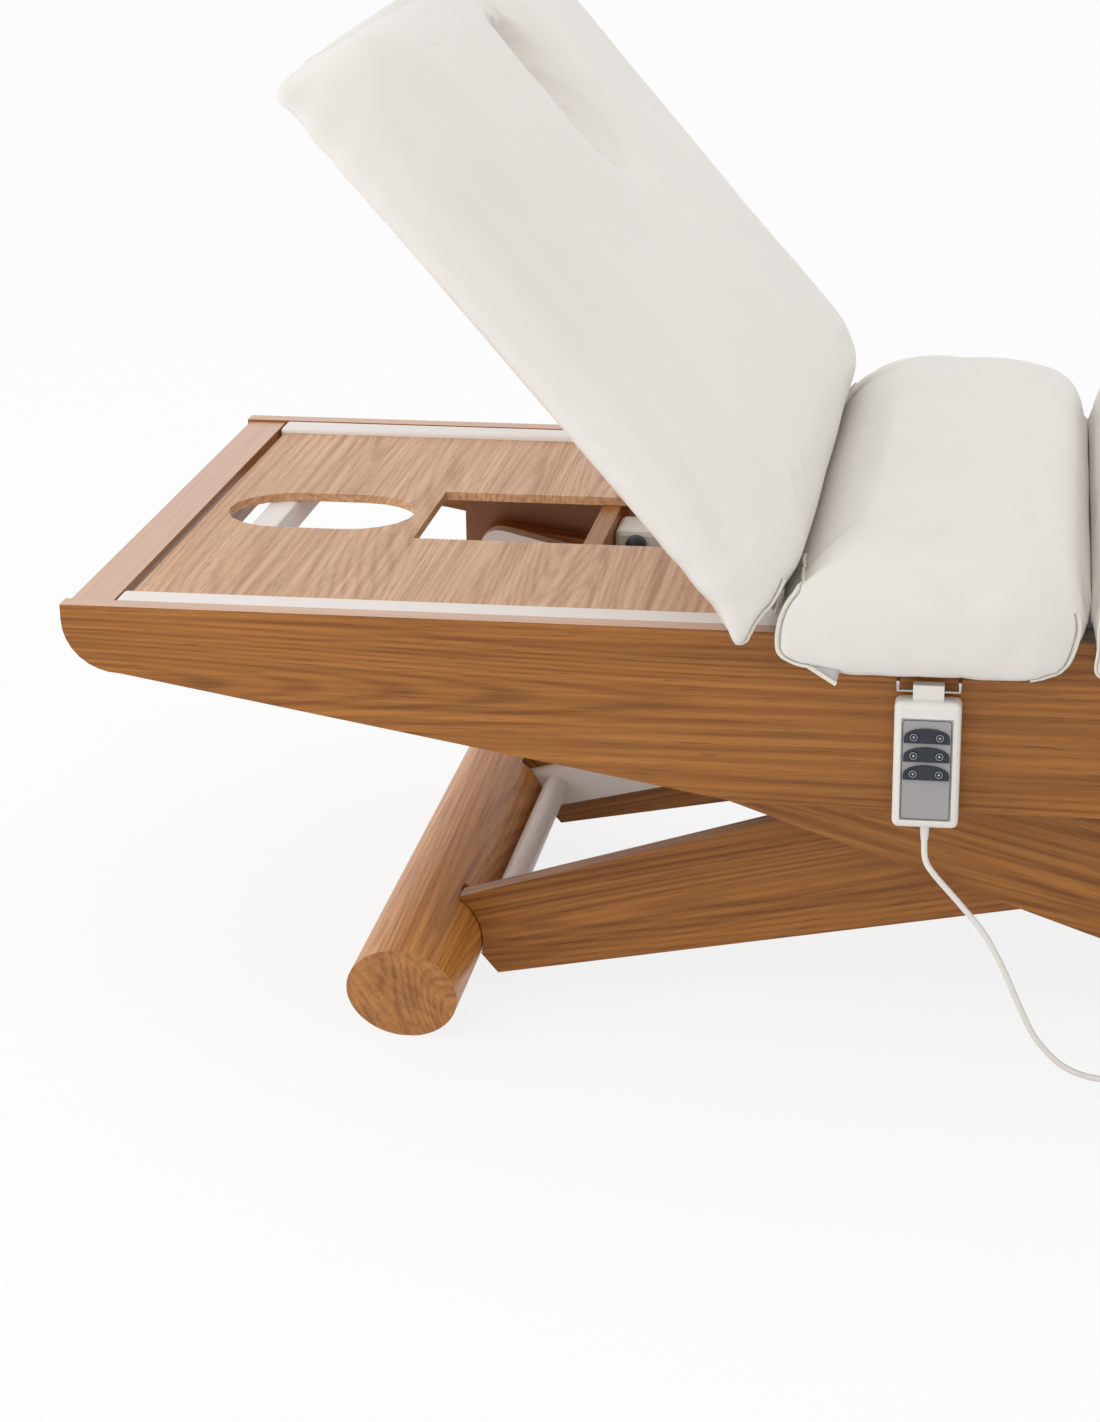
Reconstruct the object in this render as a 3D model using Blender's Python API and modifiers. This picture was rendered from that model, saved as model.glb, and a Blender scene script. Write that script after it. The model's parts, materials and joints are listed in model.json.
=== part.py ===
"""Electric spa bed: crossed wooden legs on round logs, a raised back section and a cabled handset.

Metres, +Z up. X runs along the bed with the head at -X, and the near long side is -Y.
The origin is on the floor, under the middle of the bed.
"""

import math

import bmesh
import bpy
from mathutils import Matrix, Vector

# Clearances
GAP = 0.0003
RUN_GAP = 0.003
PIN_GAP = 0.0003

# Top frame
BED_LENGTH = 1.86
FRAME_WIDTH = 0.75
RAIL_TOP = 0.455
RAIL_THICK = 0.020
RAIL_DEPTH = 0.173
RAIL_FLAT = 0.54
RAIL_NOSE_DROP = 0.015
RAIL_NOSE_LONG = 0.056
RAIL_NOSE_TALL = 0.053
END_RAIL_LONG = 0.045
END_RAIL_STEP = 0.003
TOP_TUBE_WIDE = 0.0355
TOP_TUBE_TALL = 0.030
TOP_TUBE_EDGE = 0.005
CROSS_TUBE = 0.030
DECK_THICK = 0.009
DECK_STEP = 0.006
DECK_HEAD_GAP = 0.008
OVAL_LONG = 0.202
OVAL_WIDE = 0.133
OVAL_FROM_END = 0.071
CUTOUT_LONG = 0.281
CUTOUT_WIDE = 0.180
CUTOUT_FROM_OVAL = 0.0165
CROSS_BOARD_THICK = 0.020
CROSS_BOARD_WIDE = 0.300
CROSS_BOARD_TALL = 0.105
CROSS_BOARD_FROM_CUTOUT_END = 0.087
HEAD_TUBE_FROM_END = 0.115
MID_TUBE_X = 0.210

# Crossed legs
LOG_RADIUS = 0.0560
LOG_FLAT = 0.0005
LOG_LENGTH = 0.768
LOG_UNDERCUT = math.radians(20.7)
LOG_SPACING = 1.216
UPPER_PIVOT_Z = 0.345
LIFT_RANGE = math.radians(16)
PLANK_THICK = 0.022
PLANK_A_FRONT = 0.2237
ARM_THICK = 0.020
ARM_HALF = 0.022
COPE_GAP = 0.0015
TIP_TOP = (0.0448, 0.0395)
TIP_LOW = (0.0628, 0.051)
COPE_TOP_ANGLE = math.radians(41)
COPE_LOW_ANGLE = math.radians(-28)
MIDDLE_TOP_HALF = 0.0776
BELLY_A = (0.6254, 0.0785)
BELLY_B = (0.475, 0.071)
NECK_FROM_TOP = 0.305
NECK_LOW = 0.024
PLANK_END_HALF = 0.022
AXLE_RADIUS = 0.008
PIVOT_RADIUS = 0.010
SPREADER_RADIUS = 0.014
SPREADER_A_ALONG = 0.072
SPREADER_B_ALONG = 0.095
LIFT_TUBE_FROM_MIDDLE = 0.15
BRACKET_THICK = 0.010
BRACKET_EDGE = 0.023

# Sections on the frame
BOARD_THICK = 0.012
BOARD_EDGE = 0.001
HINGE_RADIUS = 0.0125
BACK_HINGE_X = -0.243
LEG_HINGE_X = 0.062
FLAP_LONG = 0.060
FLAP_WIDE = 0.500
FLAP_THICK = 0.003
BACK_ANGLE = math.radians(49.5)
LEG_RANGE = math.radians(12)
CUSHION_WIDTH = 0.84
CUSHION_TOP = 0.552
CUSHION_CROWN = 0.008
CUSHION_DRAW = 0.005
LIP_DROP = 0.027
LIP_GAP = 0.003
BACK_BOTTOM_X = -0.268
BACK_TOP_X = -0.285
HEAD_MARGIN = 0.006
SEAT_LEFT_BOTTOM_X = -0.2547
SEAT_LEFT_TOP_X = -0.202
SEAT_RIGHT_BOTTOM_X = 0.053
SEAT_RIGHT_TOP_X = 0.046
LEG_BOTTOM_X = 0.060
LEG_TOP_X = 0.068
SEAT_BOARD_INSET = 0.040
TOP_ROUND = 0.055
SIDE_ROUND = 0.045
END_ROUND = 0.040
LIP_ROUND = 0.010
SEAT_END_ROUND = 0.060
SEAT_LOW_LONG = 0.075
SEAT_LOW_TALL = 0.045
FACE_HOLE_LONG = 0.190
FACE_HOLE_WIDE = 0.120

# Actuators
LEVER = 0.090
LEVER_THICK = 0.005
LEVER_TIP = 0.012
LEVER_ROOT = 0.018
ROD_RADIUS = 0.010
SLEEVE_RADIUS = 0.015
TAB_THICK = 0.010
MOTOR_WIDE = 0.060
MOTOR_LONG = 0.120
MOTOR_BELOW_ROD = 0.026
MOTOR_TOP_Z = 0.430
SLEEVE_LONG = 0.170
ROD_INSIDE = 0.080
BACK_DRIVE_Y = -0.060
LEG_DRIVE_Y = 0.060
LIFT_MOTOR_LONG = 0.150
LIFT_MOTOR_HALF = 0.026
LIFT_SLEEVE_END = 0.300
LIFT_ROD_START = 0.190
LIFT_OPEN_GAP = 0.007
LIFT_EYE_WALL = 0.006

# Handset on its wire hook
HANDSET_X = -0.091
HANDSET_WIDE = 0.0625
HANDSET_TALL = 0.126
HANDSET_THICK = 0.026
HANDSET_TOP_Z = 0.4013
HANDSET_OFF_RAIL = 0.0035
HANDSET_ROUND = 0.006
HANGER_WIDE = 0.029
HANGER_TALL = 0.0145
HANGER_THICK = 0.012
HOOK_RADIUS = 0.002
HOOK_WIDE = 0.058
HOOK_DROP = 0.008
PANEL_WIDE = 0.048
PANEL_TALL = 0.101
PANEL_FROM_TOP = 0.0165
PANEL_THICK = 0.0012
PAD_WIDE = 0.043
PAD_TALL = 0.0145
PAD_THICK = 0.0020
PAD_DROPS = (0.0325, 0.0510, 0.0690)
KEY_RADIUS = 0.0042
KEY_SPREAD = 0.0245
KEY_THICK = 0.0018
KEY_PROUD = 0.0006
CORD_RADIUS = 0.003
BOOT_LONG = 0.016
BOOT_RADIUS = 0.0048
CORD_ROUTE = (
    (-0.0895, -0.393, 0.240),
    (-0.081, -0.395, 0.226),
    (-0.056, -0.397, 0.198),
    (-0.031, -0.399, 0.168),
    (-0.011, -0.401, 0.132),
    (0.006, -0.402, 0.094),
    (0.024, -0.402, 0.060),
    (0.055, -0.401, 0.031),
    (0.100, -0.400, 0.022),
    (0.150, -0.400, 0.038),
    (0.190, -0.400, 0.085),
    (0.218, -0.398, 0.150),
    (0.240, -0.388, 0.210),
    (0.262, -0.366, 0.254),
    (0.285, -0.335, 0.284),
    (0.295, -0.303, 0.325),
    (0.285, -0.268, 0.362),
    (0.255, -0.225, 0.383),
    (0.210, -0.178, 0.390),
    (0.165, -0.145, 0.390),
    (0.140, -0.124, 0.390),
)

# Places worked out from the sizes above
HALF_LENGTH = BED_LENGTH / 2
HALF_WIDTH = FRAME_WIDTH / 2
RAIL_INSIDE = HALF_WIDTH - RAIL_THICK
TUBE_OUTSIDE = RAIL_INSIDE - GAP
TUBE_INSIDE = TUBE_OUTSIDE - TOP_TUBE_WIDE
SPAN = TUBE_INSIDE - GAP
DECK_TOP = RAIL_TOP - DECK_STEP
DECK_UNDER = DECK_TOP - DECK_THICK
DECK_HEAD = -HALF_LENGTH + END_RAIL_LONG + DECK_HEAD_GAP
CROSS_TUBE_Z = DECK_UNDER - GAP - CROSS_TUBE / 2
OVAL_X = -HALF_LENGTH + OVAL_FROM_END + OVAL_LONG / 2
CUTOUT_START = OVAL_X + OVAL_LONG / 2 + CUTOUT_FROM_OVAL
CUTOUT_END = CUTOUT_START + CUTOUT_LONG
CROSS_BOARD_X = CUTOUT_END - CROSS_BOARD_FROM_CUTOUT_END - CROSS_BOARD_THICK / 2
BOARD_UNDER = RAIL_TOP + GAP
HINGE_Z = BOARD_UNDER - GAP - HINGE_RADIUS
BOARD_TOP = BOARD_UNDER + BOARD_THICK
DECK_FOOT = BACK_HINGE_X - HINGE_RADIUS - 2 * RUN_GAP
LIP_BOTTOM = RAIL_TOP - LIP_DROP
LIP_INSIDE = HALF_WIDTH + LIP_GAP
ARM_RUN = LOG_SPACING
LOG_AXIS_Z = LOG_RADIUS - LOG_FLAT
ARM_RISE = UPPER_PIVOT_Z - LOG_AXIS_Z
ARM_LONG = math.hypot(ARM_RUN, ARM_RISE)
ARM_ANGLE = math.atan2(ARM_RISE, ARM_RUN)
HEAD_PIVOT = Vector((-LOG_SPACING / 2, 0, LOG_AXIS_Z))
FOOT_PIVOT = Vector((LOG_SPACING / 2, 0, LOG_AXIS_Z))
MIDDLE_PIVOT = Vector((0, 0, (LOG_AXIS_Z + UPPER_PIVOT_Z) / 2))
FRAME_PIVOT = Vector((LOG_SPACING / 2, 0, UPPER_PIVOT_Z))
SLIDE_PIVOT = Vector((-LOG_SPACING / 2, 0, UPPER_PIVOT_Z))
PLANK_A_Y = PLANK_A_FRONT - PLANK_THICK / 2
ARM_A_Y = PLANK_A_FRONT - PLANK_THICK - GAP - ARM_THICK / 2
ARM_B_Y = PLANK_A_FRONT + RUN_GAP + ARM_THICK / 2
PLANK_B_Y = ARM_B_Y + ARM_THICK / 2 + GAP + PLANK_THICK / 2
BACK_HINGE = Vector((BACK_HINGE_X, 0, HINGE_Z))
LEG_HINGE = Vector((LEG_HINGE_X, 0, HINGE_Z))
HANDSET_FRONT = -HALF_WIDTH - HANDSET_OFF_RAIL - HANDSET_THICK
HANDSET_Y = HANDSET_FRONT + HANDSET_THICK / 2
HANDSET_Z = HANDSET_TOP_Z - HANDSET_TALL / 2

UPRIGHT = Matrix.Rotation(math.pi / 2, 4, "X")
ALONG_Y = Matrix.Rotation(math.pi / 2, 4, "X")
ALONG_X = Matrix.Rotation(math.pi / 2, 4, "Y")
SIDES = (("near", -1), ("far", 1))

# name: colour, roughness, metallic
FINISHES = {
    "oak": ((0.47, 0.24, 0.10), 0.42, 0.0),
    "plywood": ((0.60, 0.36, 0.19), 0.48, 0.0),
    "white_steel": ((0.86, 0.85, 0.83), 0.35, 0.0),
    "bright_steel": ((0.60, 0.60, 0.62), 0.30, 1.0),
    "upholstery": ((0.86, 0.84, 0.79), 0.50, 0.0),
    "white_plastic": ((0.85, 0.84, 0.80), 0.38, 0.0),
    "grey_plastic": ((0.42, 0.43, 0.46), 0.45, 0.0),
    "dark_plastic": ((0.03, 0.04, 0.06), 0.40, 0.0),
    "key_plastic": ((0.30, 0.32, 0.36), 0.40, 0.0),
    "cord_plastic": ((0.82, 0.81, 0.77), 0.45, 0.0),
}


def clear_scene():
    for obj in list(bpy.data.objects):
        bpy.data.objects.remove(obj, do_unlink=True)


def new_collection(name):
    collection = bpy.data.collections.new(name)
    bpy.context.scene.collection.children.link(collection)
    return collection


def finish_material(finish):
    material = bpy.data.materials.get(finish)
    if material:
        return material
    colour, roughness, metallic = FINISHES[finish]
    material = bpy.data.materials.new(finish)
    material.use_nodes = True
    shader = material.node_tree.nodes["Principled BSDF"]
    shader.inputs["Base Color"].default_value = (*colour, 1.0)
    shader.inputs["Roughness"].default_value = roughness
    shader.inputs["Metallic"].default_value = metallic
    return material


def mesh_object(name, bm, finish, place=Matrix()):
    """A new part from a bmesh, with its faces turned outwards."""
    bmesh.ops.recalc_face_normals(bm, faces=bm.faces)
    mesh = bpy.data.meshes.new(name)
    bm.to_mesh(mesh)
    bm.free()
    mesh.shade_smooth()
    mesh.set_sharp_from_angle(angle=math.radians(30))
    mesh.materials.append(finish_material(finish))
    obj = bpy.data.objects.new(name, mesh)
    obj.matrix_world = place
    PARTS.objects.link(obj)
    return obj


def block(name, size, centre, finish, edge=0.0, place=Matrix(), segments=2):
    bm = bmesh.new()
    bmesh.ops.create_cube(bm, size=1.0, matrix=Matrix.Diagonal((*size, 1.0)))
    obj = mesh_object(name, bm, finish, place @ Matrix.Translation(centre))
    if edge:
        bevel = obj.modifiers.new("edges", "BEVEL")
        bevel.width = edge
        bevel.segments = segments
        bevel.limit_method = "ANGLE"
    return obj


def rod(name, radius, length, place, finish, sides=24, end_radius=None):
    """A round bar along the local Z axis of its place."""
    bm = bmesh.new()
    bmesh.ops.create_cone(
        bm,
        cap_ends=True,
        segments=sides,
        radius1=radius,
        radius2=radius if end_radius is None else end_radius,
        depth=length,
    )
    return mesh_object(name, bm, finish, place)


def plate(name, outline, thickness, place, finish):
    """A flat outline in the local XY plane, with half its thickness on each side."""
    curve = bpy.data.curves.new(name, "CURVE")
    curve.dimensions = "2D"
    curve.fill_mode = "BOTH"
    curve.extrude = thickness / 2
    spline = curve.splines.new("POLY")
    spline.points.add(len(outline) - 1)
    for point, (x, y) in zip(spline.points, outline):
        point.co = (x, y, 0, 1)
    spline.use_cyclic_u = True
    guide = bpy.data.objects.new(name + "_outline", curve)
    PARTS.objects.link(guide)
    bpy.context.view_layer.update()
    graph = bpy.context.evaluated_depsgraph_get()
    mesh = bpy.data.meshes.new_from_object(guide.evaluated_get(graph))
    bm = bmesh.new()
    bm.from_mesh(mesh)
    bmesh.ops.remove_doubles(bm, verts=bm.verts, dist=0.00001)
    bpy.data.objects.remove(guide, do_unlink=True)
    bpy.data.meshes.remove(mesh)
    return mesh_object(name, bm, finish, place)


def helper(obj):
    """Moves a shape that only cuts or joins out of the parts."""
    PARTS.objects.unlink(obj)
    CUTTERS.objects.link(obj)
    obj.hide_render = True
    obj.display_type = "WIRE"
    return obj


def cut(obj, cutter):
    boolean = obj.modifiers.new(cutter.name, "BOOLEAN")
    boolean.operation = "DIFFERENCE"
    boolean.object = helper(cutter) if cutter.name in PARTS.objects else cutter
    return obj


def fuse(obj, other):
    boolean = obj.modifiers.new(other.name, "BOOLEAN")
    boolean.operation = "UNION"
    boolean.object = helper(other)
    return obj


def axis_empty(name, centre):
    empty = bpy.data.objects.new(name, None)
    empty.location = centre
    empty.empty_display_size = 0.05
    PARTS.objects.link(empty)
    return empty


def hang(empty, *objects):
    """Parents objects to an axis, so that they turn about it from where they are modelled."""
    for obj in objects:
        obj.parent = empty
        obj.matrix_parent_inverse = Matrix.Translation(-Vector(empty.location))


def arc(centre, radii, start, end, steps):
    """Points along an elliptical arc."""
    points = []
    for step in range(steps + 1):
        angle = start + (end - start) * step / steps
        points.append((centre[0] + radii[0] * math.cos(angle), centre[1] + radii[1] * math.sin(angle)))
    return points


def stadium(long, wide, steps=10):
    """A slot outline with round ends, along X."""
    radius = wide / 2
    reach = long / 2 - radius
    right = arc((reach, 0), (radius, radius), -math.pi / 2, math.pi / 2, steps)
    left = arc((-reach, 0), (radius, radius), math.pi / 2, 3 * math.pi / 2, steps)
    return right + left


def link_outline(start, end, start_radius, end_radius, steps=8):
    """A lever outline: two round ends joined by straight sides."""
    direction = math.atan2(end[1] - start[1], end[0] - start[0])
    quarter = math.pi / 2
    tip = arc(end, (end_radius, end_radius), direction - quarter, direction + quarter, steps)
    root = arc(start, (start_radius, start_radius), direction + quarter, direction + 3 * quarter, steps)
    return tip + root


def nose(inset):
    """The rounded lower corner at a rail's head end, from its top down, moved in by the inset."""
    centre = (-HALF_LENGTH + RAIL_NOSE_LONG, RAIL_TOP - RAIL_NOSE_DROP)
    radii = (RAIL_NOSE_LONG - inset, RAIL_NOSE_TALL - inset)
    return centre, radii


def mirrored(points):
    return [(-x, z) for x, z in points]


def make_rails():
    """Side rails with a belly at mid length and a rounded nose at each end."""
    centre, radii = nose(0.0)
    left = [(-HALF_LENGTH, RAIL_TOP)]
    left += arc(centre, radii, math.pi, 1.5 * math.pi, 8)
    left.append((-RAIL_FLAT / 2, RAIL_TOP - RAIL_DEPTH))
    outline = left + mirrored(reversed(left))
    for side, sign in SIDES:
        place = Matrix.Translation((0, sign * (HALF_WIDTH - RAIL_THICK / 2), 0)) @ UPRIGHT
        plate("side_rail_" + side, outline, RAIL_THICK, place, "oak")


def make_end_rails():
    """End rails between the side rails, shaped to their rounded noses."""
    centre, radii = nose(END_RAIL_STEP)
    inner_x = -HALF_LENGTH + END_RAIL_LONG
    stop = math.pi + math.acos((centre[0] - inner_x) / radii[0])
    outline = [(inner_x, RAIL_TOP - END_RAIL_STEP), (centre[0] - radii[0], RAIL_TOP - END_RAIL_STEP)]
    outline += arc(centre, radii, math.pi, stop, 6)
    length = 2 * (RAIL_INSIDE - GAP)
    plate("end_rail_head", outline, length, UPRIGHT, "oak")
    plate("end_rail_foot", mirrored(outline), length, UPRIGHT, "oak")


def make_top_tubes():
    """White tubes beside the deck, along the inner faces of the side rails."""
    length = BED_LENGTH - 2 * (END_RAIL_LONG - END_RAIL_STEP) - 4 * RUN_GAP
    for side, sign in SIDES:
        centre = (0, sign * (TUBE_OUTSIDE - TOP_TUBE_WIDE / 2), RAIL_TOP - TOP_TUBE_TALL / 2)
        size = (length, TOP_TUBE_WIDE, TOP_TUBE_TALL)
        block("top_tube_" + side, size, centre, "white_steel", TOP_TUBE_EDGE, segments=3)


def make_cross_tubes():
    places = {
        "cross_tube_head": -HALF_LENGTH + HEAD_TUBE_FROM_END,
        "cross_tube_mid": MID_TUBE_X,
        "cross_tube_pivot": FRAME_PIVOT.x,
        "cross_tube_foot": HALF_LENGTH - HEAD_TUBE_FROM_END,
    }
    for name, x in places.items():
        size = (CROSS_TUBE, 2 * SPAN, CROSS_TUBE)
        block(name, size, (x, 0, CROSS_TUBE_Z), "white_steel", CROSS_TUBE / 10)


def make_deck():
    """Plywood deck under the back section, with a face opening and a clearance for the drives."""
    long = DECK_FOOT - DECK_HEAD
    centre = ((DECK_HEAD + DECK_FOOT) / 2, 0, (DECK_TOP + DECK_UNDER) / 2)
    deck = block("deck_panel", (long, 2 * SPAN, DECK_THICK), centre, "plywood")
    through = 3 * DECK_THICK
    oval_place = Matrix.Translation((OVAL_X, 0, centre[2]))
    oval = plate("deck_oval", stadium(OVAL_LONG, OVAL_WIDE), through, oval_place, "plywood")
    window_x = (CUTOUT_START + CUTOUT_END) / 2
    window = block("deck_window", (CUTOUT_LONG, CUTOUT_WIDE, through), (window_x, 0, centre[2]), "plywood")
    cut(deck, oval)
    cut(deck, window)
    board_top = DECK_UNDER - GAP
    size = (CROSS_BOARD_THICK, CROSS_BOARD_WIDE, CROSS_BOARD_TALL)
    block("cross_board", size, (CROSS_BOARD_X, 0, board_top - CROSS_BOARD_TALL / 2), "oak")


def arm_place(pivot, direction, y):
    """Local X runs up the arm from its log. Direction is +1 for an arm that rises towards the foot."""
    turn = Matrix.Rotation(-direction * ARM_ANGLE, 4, "Y")
    return Matrix.Translation((pivot.x, y, pivot.z)) @ turn @ UPRIGHT


def arm_point(pivot, direction, along):
    """A world point on the arm's centre line."""
    run = direction * along * math.cos(ARM_ANGLE)
    return Vector((pivot.x + run, 0, pivot.z + along * math.sin(ARM_ANGLE)))


def plank_outline(belly, direction):
    """A leg plank: coped round its log, widest near the middle, narrow and round at the top."""
    cope = LOG_RADIUS + COPE_GAP
    low_edge = [
        (TIP_LOW[0], -TIP_LOW[1]),
        (belly[0], -belly[1]),
        (ARM_LONG - NECK_FROM_TOP, -NECK_LOW),
    ]
    end = arc((ARM_LONG, 0), (PLANK_END_HALF, PLANK_END_HALF), -math.pi / 2, math.pi / 2, 8)
    top_edge = [(ARM_LONG / 2, MIDDLE_TOP_HALF), TIP_TOP]
    coping = arc((0, 0), (cope, cope), COPE_TOP_ANGLE, COPE_LOW_ANGLE, 8)
    outline = low_edge + end + top_edge + coping
    return [(direction * along, across) for along, across in outline]


def pin_cutter(name, radius, centre, reach):
    return rod(name, radius, reach, Matrix.Translation(centre) @ ALONG_Y, "bright_steel", 20)


def make_log(name, pivot, direction, arm_y):
    """A round foot with undercut ends, flat underneath, with a blind axle bore and two arm slots."""
    log = rod(name, LOG_RADIUS, LOG_LENGTH + LOG_RADIUS, Matrix.Translation(pivot) @ ALONG_Y, "oak", 48)
    for side, sign in SIDES:
        rim = Vector((pivot.x, sign * LOG_LENGTH / 2, pivot.z + LOG_RADIUS))
        tilt = Matrix.Translation(rim) @ Matrix.Rotation(-sign * LOG_UNDERCUT, 4, "X")
        offcut = (4 * LOG_RADIUS, 4 * LOG_RADIUS, 8 * LOG_RADIUS)
        cut(log, block(f"{name}_offcut_{side}", offcut, (0, sign * 2 * LOG_RADIUS, 0), "oak", place=tilt))
    floor_size = (4 * LOG_RADIUS, 2 * LOG_LENGTH, LOG_RADIUS)
    cut(log, block(name + "_flat", floor_size, (pivot.x, 0, -LOG_RADIUS / 2), "oak"))
    slot_half = ARM_HALF + RUN_GAP / 2
    reach = 2 * LOG_RADIUS
    low = ARM_ANGLE - math.radians(2)
    high = ARM_ANGLE + LIFT_RANGE + math.radians(2)
    outline = arc((0, 0), (slot_half, slot_half), high + math.pi / 2, low + 1.5 * math.pi, 8)
    for angle, offset in ((low, -slot_half), (high, slot_half)):
        x = reach * math.cos(angle) - offset * math.sin(angle)
        z = reach * math.sin(angle) + offset * math.cos(angle)
        outline.append((x, z))
    outline = [(direction * x, z) for x, z in outline]
    for side, sign in SIDES:
        place = Matrix.Translation((pivot.x, sign * arm_y, pivot.z)) @ UPRIGHT
        cut(log, plate(name + "_slot_" + side, outline, ARM_THICK + 2 * GAP, place, "oak"))
    axle_length = 2 * (arm_y + 1.5 * ARM_THICK)
    cut(log, pin_cutter(name + "_bore", AXLE_RADIUS + PIN_GAP, pivot, axle_length + 2 * GAP))
    axle_name = name.replace("foot_log", "axle")
    rod(axle_name, AXLE_RADIUS, axle_length, Matrix.Translation(pivot) @ ALONG_Y, "bright_steel", 20)


def make_arm(letter, pivot, direction, arm_y, plank_y, belly, lift_axis):
    """Steel arms and the wooden planks that clad them, one of each on both sides."""
    top = arm_point(pivot, direction, ARM_LONG)
    wide_reach = 4 * PLANK_THICK
    for side, sign in SIDES:
        plank_place = arm_place(pivot, direction, sign * plank_y)
        plank_shape = plank_outline(belly, direction)
        plank = plate(f"plank_{letter}_{side}", plank_shape, PLANK_THICK, plank_place, "oak")
        bar = link_outline((0, 0), (direction * ARM_LONG, 0), ARM_HALF, ARM_HALF)
        bar_place = arm_place(pivot, direction, sign * arm_y)
        arm = plate(f"steel_arm_{letter}_{side}", bar, ARM_THICK, bar_place, "white_steel")
        at_side = Vector((0, sign * (arm_y + plank_y) / 2, 0))
        cut(arm, pin_cutter(f"{arm.name}_axle_hole", AXLE_RADIUS + PIN_GAP, pivot + at_side, wide_reach))
        if letter == "a":
            for piece in (arm, plank):
                for spot, centre in (("middle", MIDDLE_PIVOT), ("top", top)):
                    hole_name = f"{piece.name}_{spot}_hole"
                    hole = pin_cutter(hole_name, PIVOT_RADIUS + PIN_GAP, centre + at_side, wide_reach)
                    cut(piece, hole)
        else:
            make_b_pins(arm, plank, sign, top)
        hang(lift_axis, arm, plank)


def make_b_pins(arm, plank, sign, top):
    """The pins on a crossing arm: one through the other arm, one in the frame's slide bracket."""
    inner = ARM_A_Y - ARM_THICK / 2
    middle_y = (inner + ARM_B_Y) / 2
    middle = MIDDLE_PIVOT + Vector((0, sign * middle_y, 0))
    fuse(arm, pin_cutter(arm.name + "_middle_pin", PIVOT_RADIUS, middle, ARM_B_Y - inner))
    outer = PLANK_B_Y + PLANK_THICK / 2 + RUN_GAP + BRACKET_THICK
    slide_y = (ARM_B_Y + outer) / 2
    slide = top + Vector((0, sign * slide_y, 0))
    fuse(arm, pin_cutter(arm.name + "_slide_pin", AXLE_RADIUS, slide, outer - ARM_B_Y))
    cut(plank, pin_cutter(plank.name + "_slide_hole", AXLE_RADIUS + PIN_GAP, slide, 2 * (outer - ARM_B_Y)))


def make_legs():
    head_axis = axis_empty("lift_axis", HEAD_PIVOT)
    cross_axis = axis_empty("cross_axis", MIDDLE_PIVOT)
    make_log("foot_log_head", HEAD_PIVOT, 1, ARM_A_Y)
    make_log("foot_log_foot", FOOT_PIVOT, -1, ARM_B_Y)
    make_arm("a", HEAD_PIVOT, 1, ARM_A_Y, PLANK_A_Y, BELLY_A, head_axis)
    make_arm("b", FOOT_PIVOT, -1, ARM_B_Y, PLANK_B_Y, BELLY_B, cross_axis)
    inside_a = 2 * (ARM_A_Y - ARM_THICK / 2 - GAP)
    inside_b = 2 * (ARM_B_Y - ARM_THICK / 2 - GAP)
    low_a = arm_point(HEAD_PIVOT, 1, SPREADER_A_ALONG)
    low_b = arm_point(FOOT_PIVOT, -1, SPREADER_B_ALONG)
    lift = arm_point(HEAD_PIVOT, 1, ARM_LONG / 2 + LIFT_TUBE_FROM_MIDDLE)
    for name, centre, length in (
        ("spreader_tube_a", low_a, inside_a),
        ("spreader_tube_b", low_b, inside_b),
        ("lift_tube", lift, inside_a),
    ):
        tube = rod(name, SPREADER_RADIUS, length, Matrix.Translation(centre) @ ALONG_Y, "white_steel", 20)
        hang(cross_axis if name == "spreader_tube_b" else head_axis, tube)
    return low_b, lift


def make_brackets():
    """Plates under the frame that carry the upper ends of the arms."""
    top = CROSS_TUBE_Z - CROSS_TUBE / 2 - GAP
    low = UPPER_PIVOT_Z - BRACKET_EDGE
    half = CROSS_TUBE / 2
    ear = arc((0, 0), (BRACKET_EDGE, BRACKET_EDGE), math.pi, 2 * math.pi, 10)
    outline = ear + [(half, top - UPPER_PIVOT_Z), (-half, top - UPPER_PIVOT_Z)]
    y = ARM_A_Y - ARM_THICK / 2 - RUN_GAP - BRACKET_THICK / 2
    pin_end = PLANK_A_FRONT
    for side, sign in SIDES:
        place = Matrix.Translation((FRAME_PIVOT.x, sign * y, FRAME_PIVOT.z)) @ UPRIGHT
        bracket = plate("pivot_bracket_" + side, outline, BRACKET_THICK, place, "white_steel")
        centre = FRAME_PIVOT + Vector((0, sign * (y + pin_end) / 2, 0))
        fuse(bracket, pin_cutter(bracket.name + "_pin", PIVOT_RADIUS, centre, pin_end - y))
    travel = ARM_LONG * (math.cos(ARM_ANGLE) - math.cos(ARM_ANGLE + LIFT_RANGE))
    long = travel + 4 * BRACKET_EDGE
    tall = DECK_UNDER - GAP - low
    slot_y = PLANK_B_Y + PLANK_THICK / 2 + RUN_GAP + BRACKET_THICK / 2
    for side, sign in SIDES:
        centre = (SLIDE_PIVOT.x + travel / 2, sign * slot_y, low + tall / 2)
        bracket = block("slide_bracket_" + side, (long, BRACKET_THICK, tall), centre, "white_steel")
        slot_wide = 2 * (AXLE_RADIUS + PIN_GAP)
        slot_place = Matrix.Translation((centre[0], centre[1], UPPER_PIVOT_Z)) @ UPRIGHT
        slot_shape = stadium(travel + slot_wide + RUN_GAP, slot_wide)
        slot = plate(bracket.name + "_slot", slot_shape, 3 * BRACKET_THICK, slot_place, "oak")
        cut(bracket, slot)


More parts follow.
